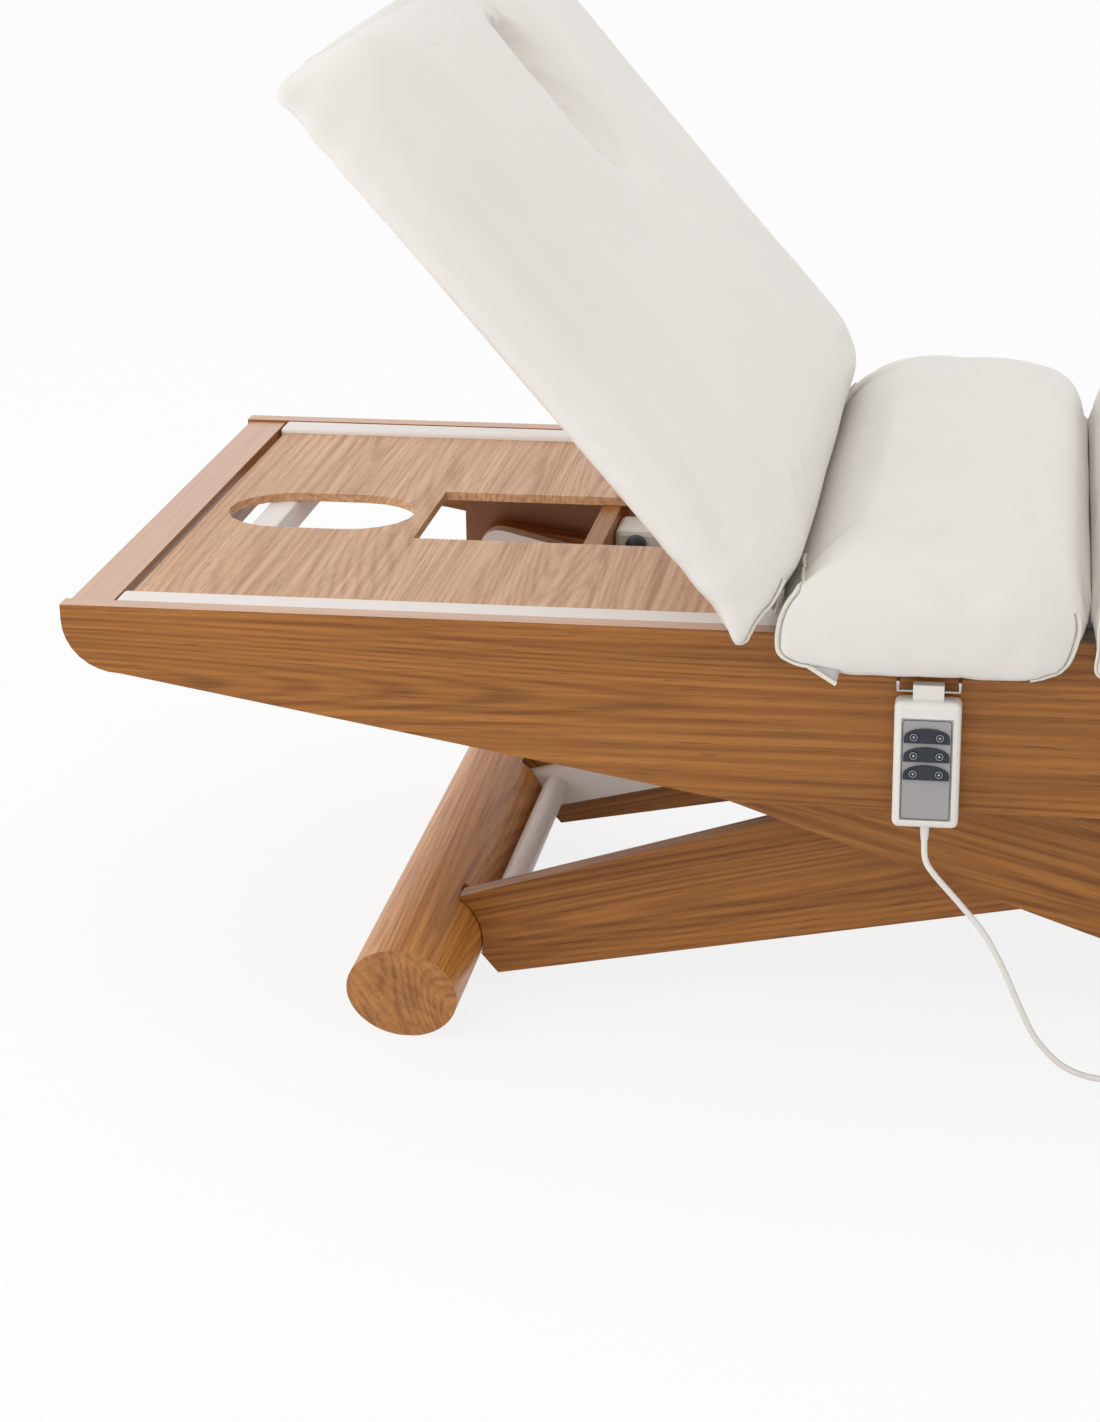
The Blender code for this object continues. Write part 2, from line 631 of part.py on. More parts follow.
def cushion(name, bottom_x, top_x, end_round=END_ROUND, low_long=LIP_ROUND, low_tall=LIP_ROUND):
    """A crowned cushion whose sides draw in between its corners, with lips that hang past the rails."""
    half = Vector((1.0, CUSHION_WIDTH / 2, (CUSHION_TOP - LIP_BOTTOM) / 2))
    middle_z = (CUSHION_TOP + LIP_BOTTOM) / 2
    half.x = (max(bottom_x[1], top_x[1]) - min(bottom_x[0], top_x[0])) / 2
    bm = bmesh.new()
    bmesh.ops.create_cube(bm, size=2.0, matrix=Matrix.Diagonal((*half, 1.0)))
    ends = max(end_round, low_long)
    edges = ((ends, ends), (SIDE_ROUND, SIDE_ROUND), (low_tall, TOP_ROUND))
    for axis, (low_edge, high_edge) in enumerate(edges):
        slice_cushion(bm, axis, half[axis], low_edge, high_edge)
    low = Vector((low_long, LIP_ROUND, low_tall))
    high = Vector((end_round, SIDE_ROUND, TOP_ROUND))
    for vert in bm.verts:
        vert.co = cushion_point(vert.co, half, bottom_x, top_x, low, high)
        vert.co.z += middle_z
    pad = mesh_object(name, bm, "upholstery")
    recess_top = BOARD_TOP + GAP
    deep = 2 * (recess_top - LIP_BOTTOM)
    size = (4 * half.x, 2 * LIP_INSIDE, deep)
    centre = ((bottom_x[0] + bottom_x[1]) / 2, 0, recess_top - deep / 2)
    return cut(pad, block(name + "_recess", size, centre, "upholstery"))


def slice_cushion(bm, axis, half, low_round, high_round):
    """Rows of points across a cushion cage: close at its rounded edges, even between them."""
    inner_low = -half + low_round
    inner_high = half - high_round
    levels = [inner_low, inner_high]
    for share in (0.12, 0.40):
        levels += [-half + share * low_round, half - share * high_round]
    steps = 2 if axis == 2 else 5
    for step in range(1, steps):
        levels.append(inner_low + (inner_high - inner_low) * step / steps)
    normal = Vector((0, 0, 0))
    normal[axis] = 1
    for level in levels:
        geometry = bm.verts[:] + bm.edges[:] + bm.faces[:]
        bmesh.ops.bisect_plane(bm, geom=geometry, plane_co=normal * level, plane_no=normal)


def cushion_point(point, half, bottom_x, top_x, low, high):
    """Rounds the edges, crowns the top, draws in the sides and slopes the end faces."""
    height = (point.z / half.z + 1) / 2
    radii = low.lerp(high, height)
    radii.z = high.z if point.z > 0 else low.z
    inner = Vector([max(-half[i] + radii[i], min(half[i] - radii[i], point[i])) for i in range(3)])
    offset = Vector([(point[i] - inner[i]) / radii[i] for i in range(3)])
    if offset.length > 0:
        largest = max(abs(value) for value in offset)
        offset = offset.normalized() * largest
    rounded = Vector([inner[i] + offset[i] * radii[i] for i in range(3)])
    along = rounded.x / half.x
    across = rounded.y / half.y
    height = (rounded.z / half.z + 1) / 2
    swell = (1 - along**2) * (1 - across**2)
    rounded.z += CUSHION_CROWN * swell * height
    rounded.y -= CUSHION_DRAW * across * (1 - along**2)
    low_x = bottom_x[0] + (top_x[0] - bottom_x[0]) * height
    high_x = bottom_x[1] + (top_x[1] - bottom_x[1]) * height
    rounded.x = (low_x + high_x) / 2 + along * (high_x - low_x) / 2
    return rounded


def section_board(name, start, end):
    size = (end - start, 2 * (HALF_WIDTH - BOARD_EDGE), BOARD_THICK)
    centre = ((start + end) / 2, 0, (BOARD_UNDER + BOARD_TOP) / 2)
    return block(name, size, centre, "plywood")


def make_lever(name, hinge, drive_y, angle):
    """A hinge tube with a pair of lever plates. The angle is their direction with the section flat."""
    lever = rod(name, HINGE_RADIUS, 2 * SPAN, Matrix.Translation(hinge) @ ALONG_Y, "white_steel", 24)
    tip = (LEVER * math.cos(angle), LEVER * math.sin(angle))
    outline = link_outline((0, 0), tip, LEVER_ROOT - 2 * RUN_GAP, LEVER_TIP)
    offset = TAB_THICK / 2 + RUN_GAP + LEVER_THICK / 2
    for number, sign in ((1, -1), (2, 1)):
        place = Matrix.Translation((hinge.x, drive_y + sign * offset, hinge.z)) @ UPRIGHT
        fuse(lever, plate(f"{name}_plate_{number}", outline, LEVER_THICK, place, "white_steel"))
    return lever


def make_seat():
    section_board("seat_board", SEAT_LEFT_TOP_X, SEAT_RIGHT_BOTTOM_X - SEAT_BOARD_INSET / 2)
    cushion(
        "seat_cushion",
        (SEAT_LEFT_BOTTOM_X, SEAT_RIGHT_BOTTOM_X),
        (SEAT_LEFT_TOP_X, SEAT_RIGHT_TOP_X),
        SEAT_END_ROUND,
        SEAT_LOW_LONG,
        SEAT_LOW_TALL,
    )


def make_back():
    """The back section, modelled flat and turned up about its hinge."""
    axis = axis_empty("back_axis", BACK_HINGE)
    head = -HALF_LENGTH + HEAD_MARGIN
    board = section_board("back_board", head + BOARD_THICK, BACK_BOTTOM_X + RUN_GAP)
    pad = cushion("back_cushion", (head, BACK_BOTTOM_X), (head, BACK_TOP_X))
    hole_place = Matrix.Translation((OVAL_X, 0, CUSHION_TOP))
    hole_shape = stadium(FACE_HOLE_LONG, FACE_HOLE_WIDE)
    hole = plate("face_hole", hole_shape, 4 * (CUSHION_TOP - BOARD_UNDER), hole_place, "oak")
    cut(board, hole)
    cut(pad, hole)
    lever = make_lever("back_lever", BACK_HINGE, BACK_DRIVE_Y, -math.pi / 2 + BACK_ANGLE / 2)
    flap_end = BACK_HINGE_X - FLAP_THICK
    flap_centre = (flap_end - FLAP_LONG / 2, 0, BOARD_UNDER - GAP - FLAP_THICK / 2)
    fuse(lever, block("back_flap", (FLAP_LONG, FLAP_WIDE, FLAP_THICK), flap_centre, "white_steel"))
    moving = [obj for obj in CUTTERS.objects if obj.name.startswith(("back_", "face_"))]
    hang(axis, board, pad, lever, *moving)
    axis.rotation_euler.y = BACK_ANGLE


def make_leg_section():
    axis = axis_empty("leg_axis", LEG_HINGE)
    foot = HALF_LENGTH - HEAD_MARGIN
    board = section_board("leg_board", LEG_HINGE_X + 0.3 * HINGE_RADIUS, foot - BOARD_THICK)
    pad = cushion("leg_cushion", (LEG_BOTTOM_X, foot), (LEG_TOP_X, foot))
    lever = make_lever("leg_lever", LEG_HINGE, LEG_DRIVE_Y, -math.pi / 2 - LEG_RANGE / 2)
    hang(axis, board, pad, lever)


def make_drive(name, seat_x, direction, y, hinge, half_swing, tip_x):
    """A motor that seats on the frame, its sleeve, and a push rod with a flat tab at the lever."""
    rod_z = hinge.z - LEVER * math.cos(half_swing)
    low = rod_z - MOTOR_BELOW_ROD
    start = seat_x + direction * GAP
    middle = start + direction * MOTOR_LONG / 2
    size = (MOTOR_LONG, MOTOR_WIDE, MOTOR_TOP_Z - low)
    motor = block(name + "_motor", size, (middle, y, (MOTOR_TOP_Z + low) / 2), "white_plastic", 0.006)
    sleeve_start = start + direction * MOTOR_LONG / 2
    sleeve_end = start + direction * (MOTOR_LONG + SLEEVE_LONG)
    sleeve_place = Matrix.Translation(((sleeve_start + sleeve_end) / 2, y, rod_z)) @ ALONG_X
    sleeve_long = abs(sleeve_end - sleeve_start)
    fuse(motor, rod(name + "_sleeve", SLEEVE_RADIUS, sleeve_long, sleeve_place, "white_plastic", 20))
    bore_start = start + direction * MOTOR_LONG / 6
    bore_end = sleeve_end + direction * SLEEVE_RADIUS
    bore_place = Matrix.Translation(((bore_start + bore_end) / 2, y, rod_z)) @ ALONG_X
    bore_long = abs(bore_end - bore_start)
    bore = rod(name + "_bore", ROD_RADIUS + PIN_GAP, bore_long, bore_place, "bright_steel", 16)
    rod_start = sleeve_end - direction * ROD_INSIDE
    rod_end = tip_x - direction * (LEVER_TIP + ROD_RADIUS)
    rod_place = Matrix.Translation(((rod_start + rod_end) / 2, y, rod_z)) @ ALONG_X
    push = rod(name + "_rod", ROD_RADIUS, abs(rod_end - rod_start), rod_place, "bright_steel", 16)
    tab = link_outline((rod_end - direction * ROD_RADIUS, 0), (tip_x, 0), ROD_RADIUS * 0.8, LEVER_TIP * 0.8)
    tab_place = Matrix.Translation((0, y, rod_z)) @ UPRIGHT
    fuse(push, plate(name + "_tab", tab, TAB_THICK, tab_place, "bright_steel"))
    return motor, bore


def make_drives():
    swing = LEVER * math.sin(BACK_ANGLE / 2)
    seat_x = MID_TUBE_X - CROSS_TUBE / 2
    motor, bore = make_drive(
        "back", seat_x, -1, BACK_DRIVE_Y, BACK_HINGE, BACK_ANGLE / 2, BACK_HINGE_X - swing
    )
    gland_end = CORD_ROUTE[-1][1] + CORD_RADIUS * 5
    motor_side = BACK_DRIVE_Y - MOTOR_WIDE / 2
    gland_centre = (CORD_ROUTE[-1][0], (gland_end + motor_side) / 2 + 0.002, CORD_ROUTE[-1][2])
    gland_place = Matrix.Translation(gland_centre) @ ALONG_Y
    gland_long = motor_side - gland_end + 0.004
    fuse(motor, rod("cord_gland", 2 * CORD_RADIUS, gland_long, gland_place, "white_plastic", 16))
    cut(motor, bore)
    swing = LEVER * math.sin(LEG_RANGE / 2)
    seat_x = CROSS_BOARD_X + CROSS_BOARD_THICK / 2
    motor, bore = make_drive(
        "leg", seat_x, 1, LEG_DRIVE_Y, LEG_HINGE, LEG_RANGE / 2, LEG_HINGE_X - swing
    )
    cut(motor, bore)
    return gland_end


def make_lift_drive(base, target):
    """The lift motor turns on the lower spreader tube, and its rod reaches for the lift tube."""
    reach = target - base
    angle = math.atan2(reach.z, reach.x)
    frame = Matrix.Translation(base) @ Matrix.Rotation(-angle, 4, "Y")
    half = LIFT_MOTOR_HALF
    motor_start = -half
    centre = (motor_start + LIFT_MOTOR_LONG / 2, 0, 0)
    size = (LIFT_MOTOR_LONG, 2 * half, 2 * half)
    motor = block("lift_motor", size, centre, "white_plastic", 0.006, frame)
    sleeve_start = LIFT_MOTOR_LONG / 2
    sleeve_place = frame @ Matrix.Translation(((sleeve_start + LIFT_SLEEVE_END) / 2, 0, 0)) @ ALONG_X
    sleeve_long = LIFT_SLEEVE_END - sleeve_start
    fuse(motor, rod("lift_sleeve", SLEEVE_RADIUS, sleeve_long, sleeve_place, "white_plastic", 20))
    bore_place = frame @ Matrix.Translation(((sleeve_start + LIFT_SLEEVE_END + half) / 2, 0, 0)) @ ALONG_X
    bore_long = LIFT_SLEEVE_END + half - sleeve_start
    cut(motor, rod("lift_bore", ROD_RADIUS + PIN_GAP, bore_long, bore_place, "bright_steel", 16))
    cut(motor, pin_cutter("lift_base_hole", SPREADER_RADIUS + PIN_GAP, base, 4 * half))
    eye_hole = SPREADER_RADIUS + LIFT_OPEN_GAP
    eye_outside = eye_hole + LIFT_EYE_WALL
    rod_end = reach.length - eye_outside + RUN_GAP
    rod_place = frame @ Matrix.Translation(((LIFT_ROD_START + rod_end) / 2, 0, 0)) @ ALONG_X
    push = rod("lift_rod", ROD_RADIUS, rod_end - LIFT_ROD_START, rod_place, "bright_steel", 16)
    eye = arc((0, 0), (eye_outside, eye_outside), 0, 2 * math.pi, 24)[:-1]
    fuse(push, plate("lift_eye_ring", eye, TAB_THICK, Matrix.Translation(target) @ UPRIGHT, "bright_steel"))
    cut(push, pin_cutter("lift_eye_hole", eye_hole, target, 4 * half))
    motor_axis = axis_empty("lift_motor_axis", base)
    helpers = [obj for obj in CUTTERS.objects if obj.name.startswith("lift_")]
    hang(motor_axis, motor, push, *helpers)


def make_handset():
    """A white handset on a wire hook, with three dark pads of two keys each."""
    centre = (HANDSET_X, HANDSET_Y, HANDSET_Z)
    size = (HANDSET_WIDE, HANDSET_THICK, HANDSET_TALL)
    shell = block("handset_shell", size, centre, "white_plastic", HANDSET_ROUND, segments=3)
    hanger_z = HANDSET_TOP_Z + HANGER_TALL / 2 - RUN_GAP
    hanger_size = (HANGER_WIDE, HANGER_THICK, HANGER_TALL + 2 * RUN_GAP)
    fuse(shell, block("handset_hanger", hanger_size, (HANDSET_X, HANDSET_Y, hanger_z), "white_plastic"))
    bar_z = HANDSET_TOP_Z + HANGER_TALL / 2
    bar_place = Matrix.Translation((HANDSET_X, HANDSET_Y, bar_z)) @ ALONG_X
    cut(shell, rod("hanger_bore", HOOK_RADIUS + PIN_GAP, 2 * HOOK_WIDE, bar_place, "bright_steel", 16))
    panel_z = HANDSET_TOP_Z - PANEL_FROM_TOP - PANEL_TALL / 2
    recess = (PANEL_WIDE + 2 * GAP, 2 * (PANEL_THICK + GAP), PANEL_TALL + 2 * GAP)
    cut(shell, block("panel_recess", recess, (HANDSET_X, HANDSET_FRONT, panel_z), "grey_plastic"))
    panel_y = HANDSET_FRONT + PANEL_THICK / 2
    panel_size = (PANEL_WIDE, PANEL_THICK, PANEL_TALL)
    block("handset_panel", panel_size, (HANDSET_X, panel_y, panel_z), "grey_plastic")
    for number, drop in enumerate(PAD_DROPS, 1):
        make_pad(number, HANDSET_TOP_Z - drop)
    make_hook(bar_z)


def make_pad(number, z):
    """A dark pad with a flat lower edge and a domed top, and its two sprung keys."""
    half = PAD_WIDE / 2
    low = -PAD_TALL / 2
    dome = arc((0, low + PAD_TALL * 0.35), (half, PAD_TALL * 0.65), 0, math.pi, 12)
    outline = [(half, low), *dome, (-half, low)]
    y = HANDSET_FRONT - GAP - PAD_THICK / 2
    place = Matrix.Translation((HANDSET_X, y, z)) @ UPRIGHT
    pad = plate(f"key_pad_{number}", outline, PAD_THICK, place, "dark_plastic")
    key_y = HANDSET_FRONT - GAP - PAD_THICK - KEY_PROUD + KEY_THICK / 2
    for side, sign in (("down", -1), ("up", 1)):
        spot = Vector((HANDSET_X + sign * KEY_SPREAD / 2, y, z - PAD_TALL * 0.08))
        name = f"key_{side}_{number}"
        cut(pad, pin_cutter(name + "_hole", KEY_RADIUS + PIN_GAP, spot, 4 * PAD_THICK))
        key_place = Matrix.Translation((spot.x, key_y, spot.z)) @ ALONG_Y
        rod(name, KEY_RADIUS, KEY_THICK, key_place, "key_plastic", 20)


def make_hook(bar_z):
    """A bent wire out of the rail, with a bar that the handset hangs on."""
    rail = -HALF_WIDTH - GAP
    half = HOOK_WIDE / 2
    top = bar_z + HOOK_DROP
    points = [(-half, rail, top), (-half, HANDSET_Y, top), (-half, HANDSET_Y, bar_z)]
    points += [(-x, y, z) for x, y, z in reversed(points)]
    tube("handset_hook", [(HANDSET_X + x, y, z) for x, y, z in points], HOOK_RADIUS, "bright_steel")


def tube(name, points, radius, finish):
    curve = bpy.data.curves.new(name, "CURVE")
    curve.dimensions = "3D"
    curve.bevel_depth = radius
    curve.bevel_resolution = 2
    curve.use_fill_caps = True
    spline = curve.splines.new("POLY")
    spline.points.add(len(points) - 1)
    for point, place in zip(spline.points, points):
        point.co = (*place, 1)
    curve.materials.append(finish_material(finish))
    obj = bpy.data.objects.new(name, curve)
    PARTS.objects.link(obj)
    return obj


def smooth_path(points, steps):
    """Points on a smooth curve through the given ones."""
    path = []
    for i in range(len(points) - 1):
        before = Vector(points[max(i - 1, 0)])
        start = Vector(points[i])
        end = Vector(points[i + 1])
        after = Vector(points[min(i + 2, len(points) - 1)])
        for step in range(steps):
            t = step / steps
            path.append(
                0.5
                * (
                    2 * start
                    + (end - before) * t
                    + (2 * before - 5 * start + 4 * end - after) * t**2
                    + (3 * start - before - 3 * end + after) * t**3
                )
            )
    path.append(Vector(points[-1]))
    return path


def make_cord(gland_end):
    """The handset's cord: out of its boot, down to a slack loop, behind the rail and up to a motor."""
    handset_low = HANDSET_TOP_Z - HANDSET_TALL
    boot_top = handset_low - GAP
    boot_low = boot_top - BOOT_LONG
    boot_place = Matrix.Translation((HANDSET_X, HANDSET_Y, (boot_top + boot_low) / 2))
    rod("cord_boot", CORD_RADIUS * 1.15, BOOT_LONG, boot_place, "cord_plastic", 16, BOOT_RADIUS)
    exit_point = (HANDSET_X, HANDSET_Y, boot_low - GAP)
    last = CORD_ROUTE[-1]
    entry = (last[0], gland_end - GAP, last[2])
    lead_in = (last[0], entry[1] - 2 * CORD_RADIUS, last[2])
    route = (exit_point, *CORD_ROUTE, lead_in, entry)
    tube("handset_cord", smooth_path(route, 3), CORD_RADIUS, "cord_plastic")


clear_scene()
PARTS = new_collection("electric_spa_bed")
CUTTERS = new_collection("cutters")

make_rails()
make_end_rails()
make_top_tubes()
make_cross_tubes()
make_deck()
LIFT_BASE, LIFT_TARGET = make_legs()
make_brackets()
make_seat()
make_back()
make_leg_section()
GLAND_END = make_drives()
make_lift_drive(LIFT_BASE, LIFT_TARGET)
make_handset()
make_cord(GLAND_END)
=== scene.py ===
"""Looks of the electric spa bed: oak veneer, cream leatherette, coated steel and a cabled handset."""

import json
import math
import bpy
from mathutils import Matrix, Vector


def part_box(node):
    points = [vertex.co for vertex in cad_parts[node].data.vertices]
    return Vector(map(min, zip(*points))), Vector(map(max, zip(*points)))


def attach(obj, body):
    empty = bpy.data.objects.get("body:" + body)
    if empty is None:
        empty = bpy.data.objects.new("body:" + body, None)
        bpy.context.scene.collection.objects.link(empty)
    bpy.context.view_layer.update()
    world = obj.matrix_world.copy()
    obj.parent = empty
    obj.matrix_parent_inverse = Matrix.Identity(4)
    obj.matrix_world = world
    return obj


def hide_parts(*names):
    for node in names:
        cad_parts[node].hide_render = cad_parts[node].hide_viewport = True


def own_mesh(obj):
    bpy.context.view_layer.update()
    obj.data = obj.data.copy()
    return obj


bl_info = {
    "name": "Electric spa bed",
    "version": (1, 0, 0),
    "blender": (4, 5, 0),
    "location": "View3D > Sidebar > Spa bed",
    "description": "Dresses the packed spa bed with upholstery, veneer, a cord and a studio",
    "category": "Object",
}

import bmesh
import bpy
from bpy.props import FloatProperty, FloatVectorProperty, IntProperty, PointerProperty
from mathutils import Matrix, Vector
from mathutils.bvhtree import BVHTree

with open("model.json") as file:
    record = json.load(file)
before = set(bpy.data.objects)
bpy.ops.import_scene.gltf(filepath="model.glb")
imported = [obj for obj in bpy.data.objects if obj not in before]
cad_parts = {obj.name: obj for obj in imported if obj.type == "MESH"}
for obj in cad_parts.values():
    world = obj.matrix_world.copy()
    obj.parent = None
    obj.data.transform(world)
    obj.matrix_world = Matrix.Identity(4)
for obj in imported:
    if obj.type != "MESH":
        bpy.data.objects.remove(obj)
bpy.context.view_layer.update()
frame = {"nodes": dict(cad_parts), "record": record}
NODES = frame["nodes"]

# The back's hinge and how far the back is raised at rest.
BACK_HINGE = Vector((-0.243, 0.0, 0.4425))
BACK_ANGLE = math.radians(49.5)

# The body that each section rides on, and where it starts and ends along the bed when it lies flat.
SECTION_BODIES = {"seat": "frame", "back": "back", "leg": "leg"}
SECTION_ENDS = {"seat": (-0.22, 0.05), "back": (-0.92, -0.28), "leg": (0.07, 0.92)}

# Where welts turn round a section: the centre in x and z, and the first and last angle in degrees.
WELT_TURNS = {
    "seat": (((-0.10, 0.50), 176.0, 212.0), ((-0.10, 0.50), 325.0, 357.0)),
    "back": (((-0.34, 0.49), -41.0, 12.0),),
    "leg": (((0.14, 0.49), 175.0, 228.0),),
}

# The loose corner of the seat's lining. Its tip, mirrored, is also where the seat's welts end.
FLAP_TIP = (-0.1766, 0.4105, 0.4182)
FLAP_HEEL = (0.0035, 0.006)
FLAP_REACH = 0.010
FLAP_CURL = 0.0010

# A cover is held by its board inside this half width and below this height.
HELD_HALF_WIDTH = 0.386
HELD_BELOW = 0.4735

# Heights above which a cover is smoothed, each with its number of rounds.
SOFT_ROUNDS = ((0.480, 26), (0.462, 12), (0.447, 8), (0.0, 5))

# How far the covers bulge where they meet, and how far their lips hang.
SEAT_BULGE = 0.007
LEG_BULGE = 0.008
BACK_BULGE = 0.004
LIP_DROP = 0.0090
SEAT_CORNER_LOW = 0.006
SEAT_CORNER_RISE = 0.019

# The tip that a lower corner of the back draws to, how wide that acts and how far it pulls.
BACK_TIP = (-0.268, 0.420, 0.430)
BACK_TIP_REACH = (0.030, 0.030, 0.020)
BACK_TIP_PULL = (0.003, 0.003, -0.007)

# Depths of the covers' gathers, crease and waves, above the height of their lower edge.
COVER_FOOT = 0.428
GATHER = 0.0012
GATHER_REACH = 0.09
GATHER_HEIGHT = 0.05
CREASE = 0.0014
CREASE_WIDTH = 0.007
CREASE_PLACE = (0.020, 0.52)
CREASE_SLOPE = 0.32
WAVE = 0.0008

# Rays that find a cushion's edge, and the part of a welt that runs across the seat's end.
COVER_HALF_WIDTH = 0.42
RAY_LENGTH = 0.4
RUN_START = 0.30
RUN_LENGTH = 0.116
RUN_STEPS = 20
RUN_LEVEL = 0.12
TAIL_STEPS = 12
PATH_ROUNDS = 6

# The share of its inset that a welt loses below, its rise, and where its painted shadow line lies, in
# radii.
INSET_LOSS = 0.30
WELT_RISE = 0.3
SHADOW_LINE_INWARD = 1.5
SHADOW_LINE_OUTWARD = 0.8

# Distances for merging doubles.
MERGE = 0.00001
FINE_MERGE = 0.000001

# Veneer: tilt of the planks' grain, turns of the grain, waves of the figure, and the pores' colour.
PLANK_TILT = math.radians(13.39)
ACROSS = (0.0, 0.0, math.radians(90))
END_CUT = (0.0, math.radians(-68), 0.0)
FIGURE_WAVES = 430.0
PORE_COLOUR = (0.070, 0.024, 0.007)

# Bump depths of mouldings and coats, and of leatherette.
FINE_BUMP = 0.0001
SOFT_BUMP = 0.0002

# The line round the handset's panel, the marks on its keys, and the steps of a turned piece.
LINE_INSET = 0.0012
LINE_CORNER = 0.0030
LINE_RADIUS = 0.00035
RING_RADIUS = 0.00022
ARROW_BASE = 0.0017
ARROW_TOP = 0.0014
ARROW_DEPTH = 0.0003
TURN_STEPS = 32

# The knob's outline: share of its radius, and reach from the motor.
KNOB_OUTLINE = (
    (0.0, 0.022),
    (0.55, 0.021),
    (0.90, 0.017),
    (1.0, 0.012),
    (1.0, 0.003),
    (0.85, 0.0),
    (0.0, 0.0),
)

# Half the floor's width, its grey, and how much of it glows where it is seen.
FLOOR_SIZE = 9.0
FLOOR_GREY = (0.88, 0.88, 0.88, 1.0)
FLOOR_GLOW = 0.84
WHITE = (1.0, 1.0, 1.0, 1.0)

# What the lamps point at.
BED_MIDDLE = (0.0, 0.0, 0.3)
BED_BASE = (-0.5, 0.0, 0.15)

# The cord's route, from the handset to a motor under the seat.
CORD_POINTS = (
    (-0.091, -0.3915, 0.2587),
    (-0.0895, -0.393, 0.240),
    (-0.081, -0.395, 0.226),
    (-0.056, -0.397, 0.198),
    (-0.031, -0.399, 0.168),
    (-0.011, -0.401, 0.132),
    (0.006, -0.402, 0.094),
    (0.024, -0.402, 0.060),
    (0.055, -0.401, 0.031),
    (0.100, -0.400, 0.022),
    (0.150, -0.400, 0.038),
    (0.190, -0.400, 0.085),
    (0.218, -0.398, 0.150),
    (0.240, -0.388, 0.210),
    (0.262, -0.366, 0.254),
    (0.285, -0.335, 0.284),
    (0.295, -0.303, 0.325),
    (0.285, -0.268, 0.362),
    (0.255, -0.225, 0.383),
    (0.210, -0.178, 0.390),
    (0.165, -0.145, 0.390),
    (0.140, -0.124, 0.390),
    (0.140, -0.1153, 0.390),
    (0.140, -0.1093, 0.390),
)


def colour_property(name, description, default):
    return FloatVectorProperty(
        name=name, description=description, default=default, size=3, min=0.0, max=1.0, subtype="COLOR"
    )


def length_property(name, description, default):
    return FloatProperty(
        name=name, description=description, default=default, min=0.0, unit="LENGTH", precision=4
    )


def angle_property(name, description, degrees):
    return FloatProperty(name=name, description=description, default=math.radians(degrees), subtype="ANGLE")


def power_property(name, default):
    description = f"Power of the {name.lower()}"
    return FloatProperty(name=name, description=description, default=default, unit="POWER")


class SpaBedFinishes(bpy.types.PropertyGroup):
    """Colours of the bed's finishes."""

    oak_light: colour_property("Oak, light", "Lighter streaks of the oak veneer", (0.44, 0.170, 0.032))
    oak_dark: colour_property("Oak, dark", "Darker streaks of the oak veneer", (0.170, 0.053, 0.006))
    deck_light: colour_property("Deck, light", "Lighter streaks of the deck", (0.73, 0.435, 0.240))
    deck_dark: colour_property("Deck, dark", "Darker streaks of the deck", (0.42, 0.195, 0.082))
    # The log and end colours are lighter than the oak: partly the logs' own tone, partly painted sheen and
    # painted light under the bed.
    log_light: colour_property("Log, light", "Lighter streaks of the foot logs", (0.76, 0.34, 0.088))
    log_dark: colour_property("Log, dark", "Darker streaks of the foot logs", (0.38, 0.132, 0.022))
    end_light: colour_property("End grain, light", "Lighter streaks on log ends", (0.56, 0.245, 0.070))
    end_dark: colour_property("End grain, dark", "Darker streaks on log ends", (0.26, 0.094, 0.020))
    # Painted sheen: a paler colour standing in for the gloss on the rails' upward faces.
    painted_top_sheen: colour_property("Painted top sheen", "Pale band on the tops of the rails", (0.76, 0.52, 0.40))
    figure: FloatProperty(
        name="Figure", description="Share of the veneer's figure", default=0.29, min=0.0, max=1.0
    )
    leatherette: colour_property("Leatherette", "Cushion covers", (0.80, 0.765, 0.715))
    welt: colour_property("Welt", "Piping on the cushions' edges", (0.80, 0.755, 0.65))
    # Painted shadow: a dark line standing in for the shade beside the piping.
    seam: colour_property("Seam", "Dark line painted as the piping's shadow", (0.30, 0.29, 0.27))
    lining: colour_property("Lining", "Fabric over the boards under the cushions", (0.80, 0.79, 0.765))
    # Painted shade: the lining made grey where its loose corner hangs in shade under the seat's lip.
    painted_shade_flap: colour_property("Flap, painted shade", "Loose corner of the seat's lining", (0.50, 0.485, 0.475))
    coated_steel: colour_property("Coated steel", "Powder coat on the tubes and arms", (0.84, 0.785, 0.755))
    brown_coat: colour_property("Brown coat", "Coat on the brackets inside the rails", (0.26, 0.10, 0.030))
    bare_steel: colour_property("Bare steel", "Rods, axles and the hook", (0.60, 0.60, 0.61))
    shell: colour_property("Handset shell", "Handset, motors and cord", (0.80, 0.775, 0.72))
    panel: colour_property("Handset panel", "Grey panel under the keys", (0.36, 0.348, 0.345))
    pads: colour_property("Key pads", "Dark pads and keys", (0.016, 0.020, 0.032))
    marks: colour_property("Key marks", "Pale rings and arrows", (0.52, 0.53, 0.56))


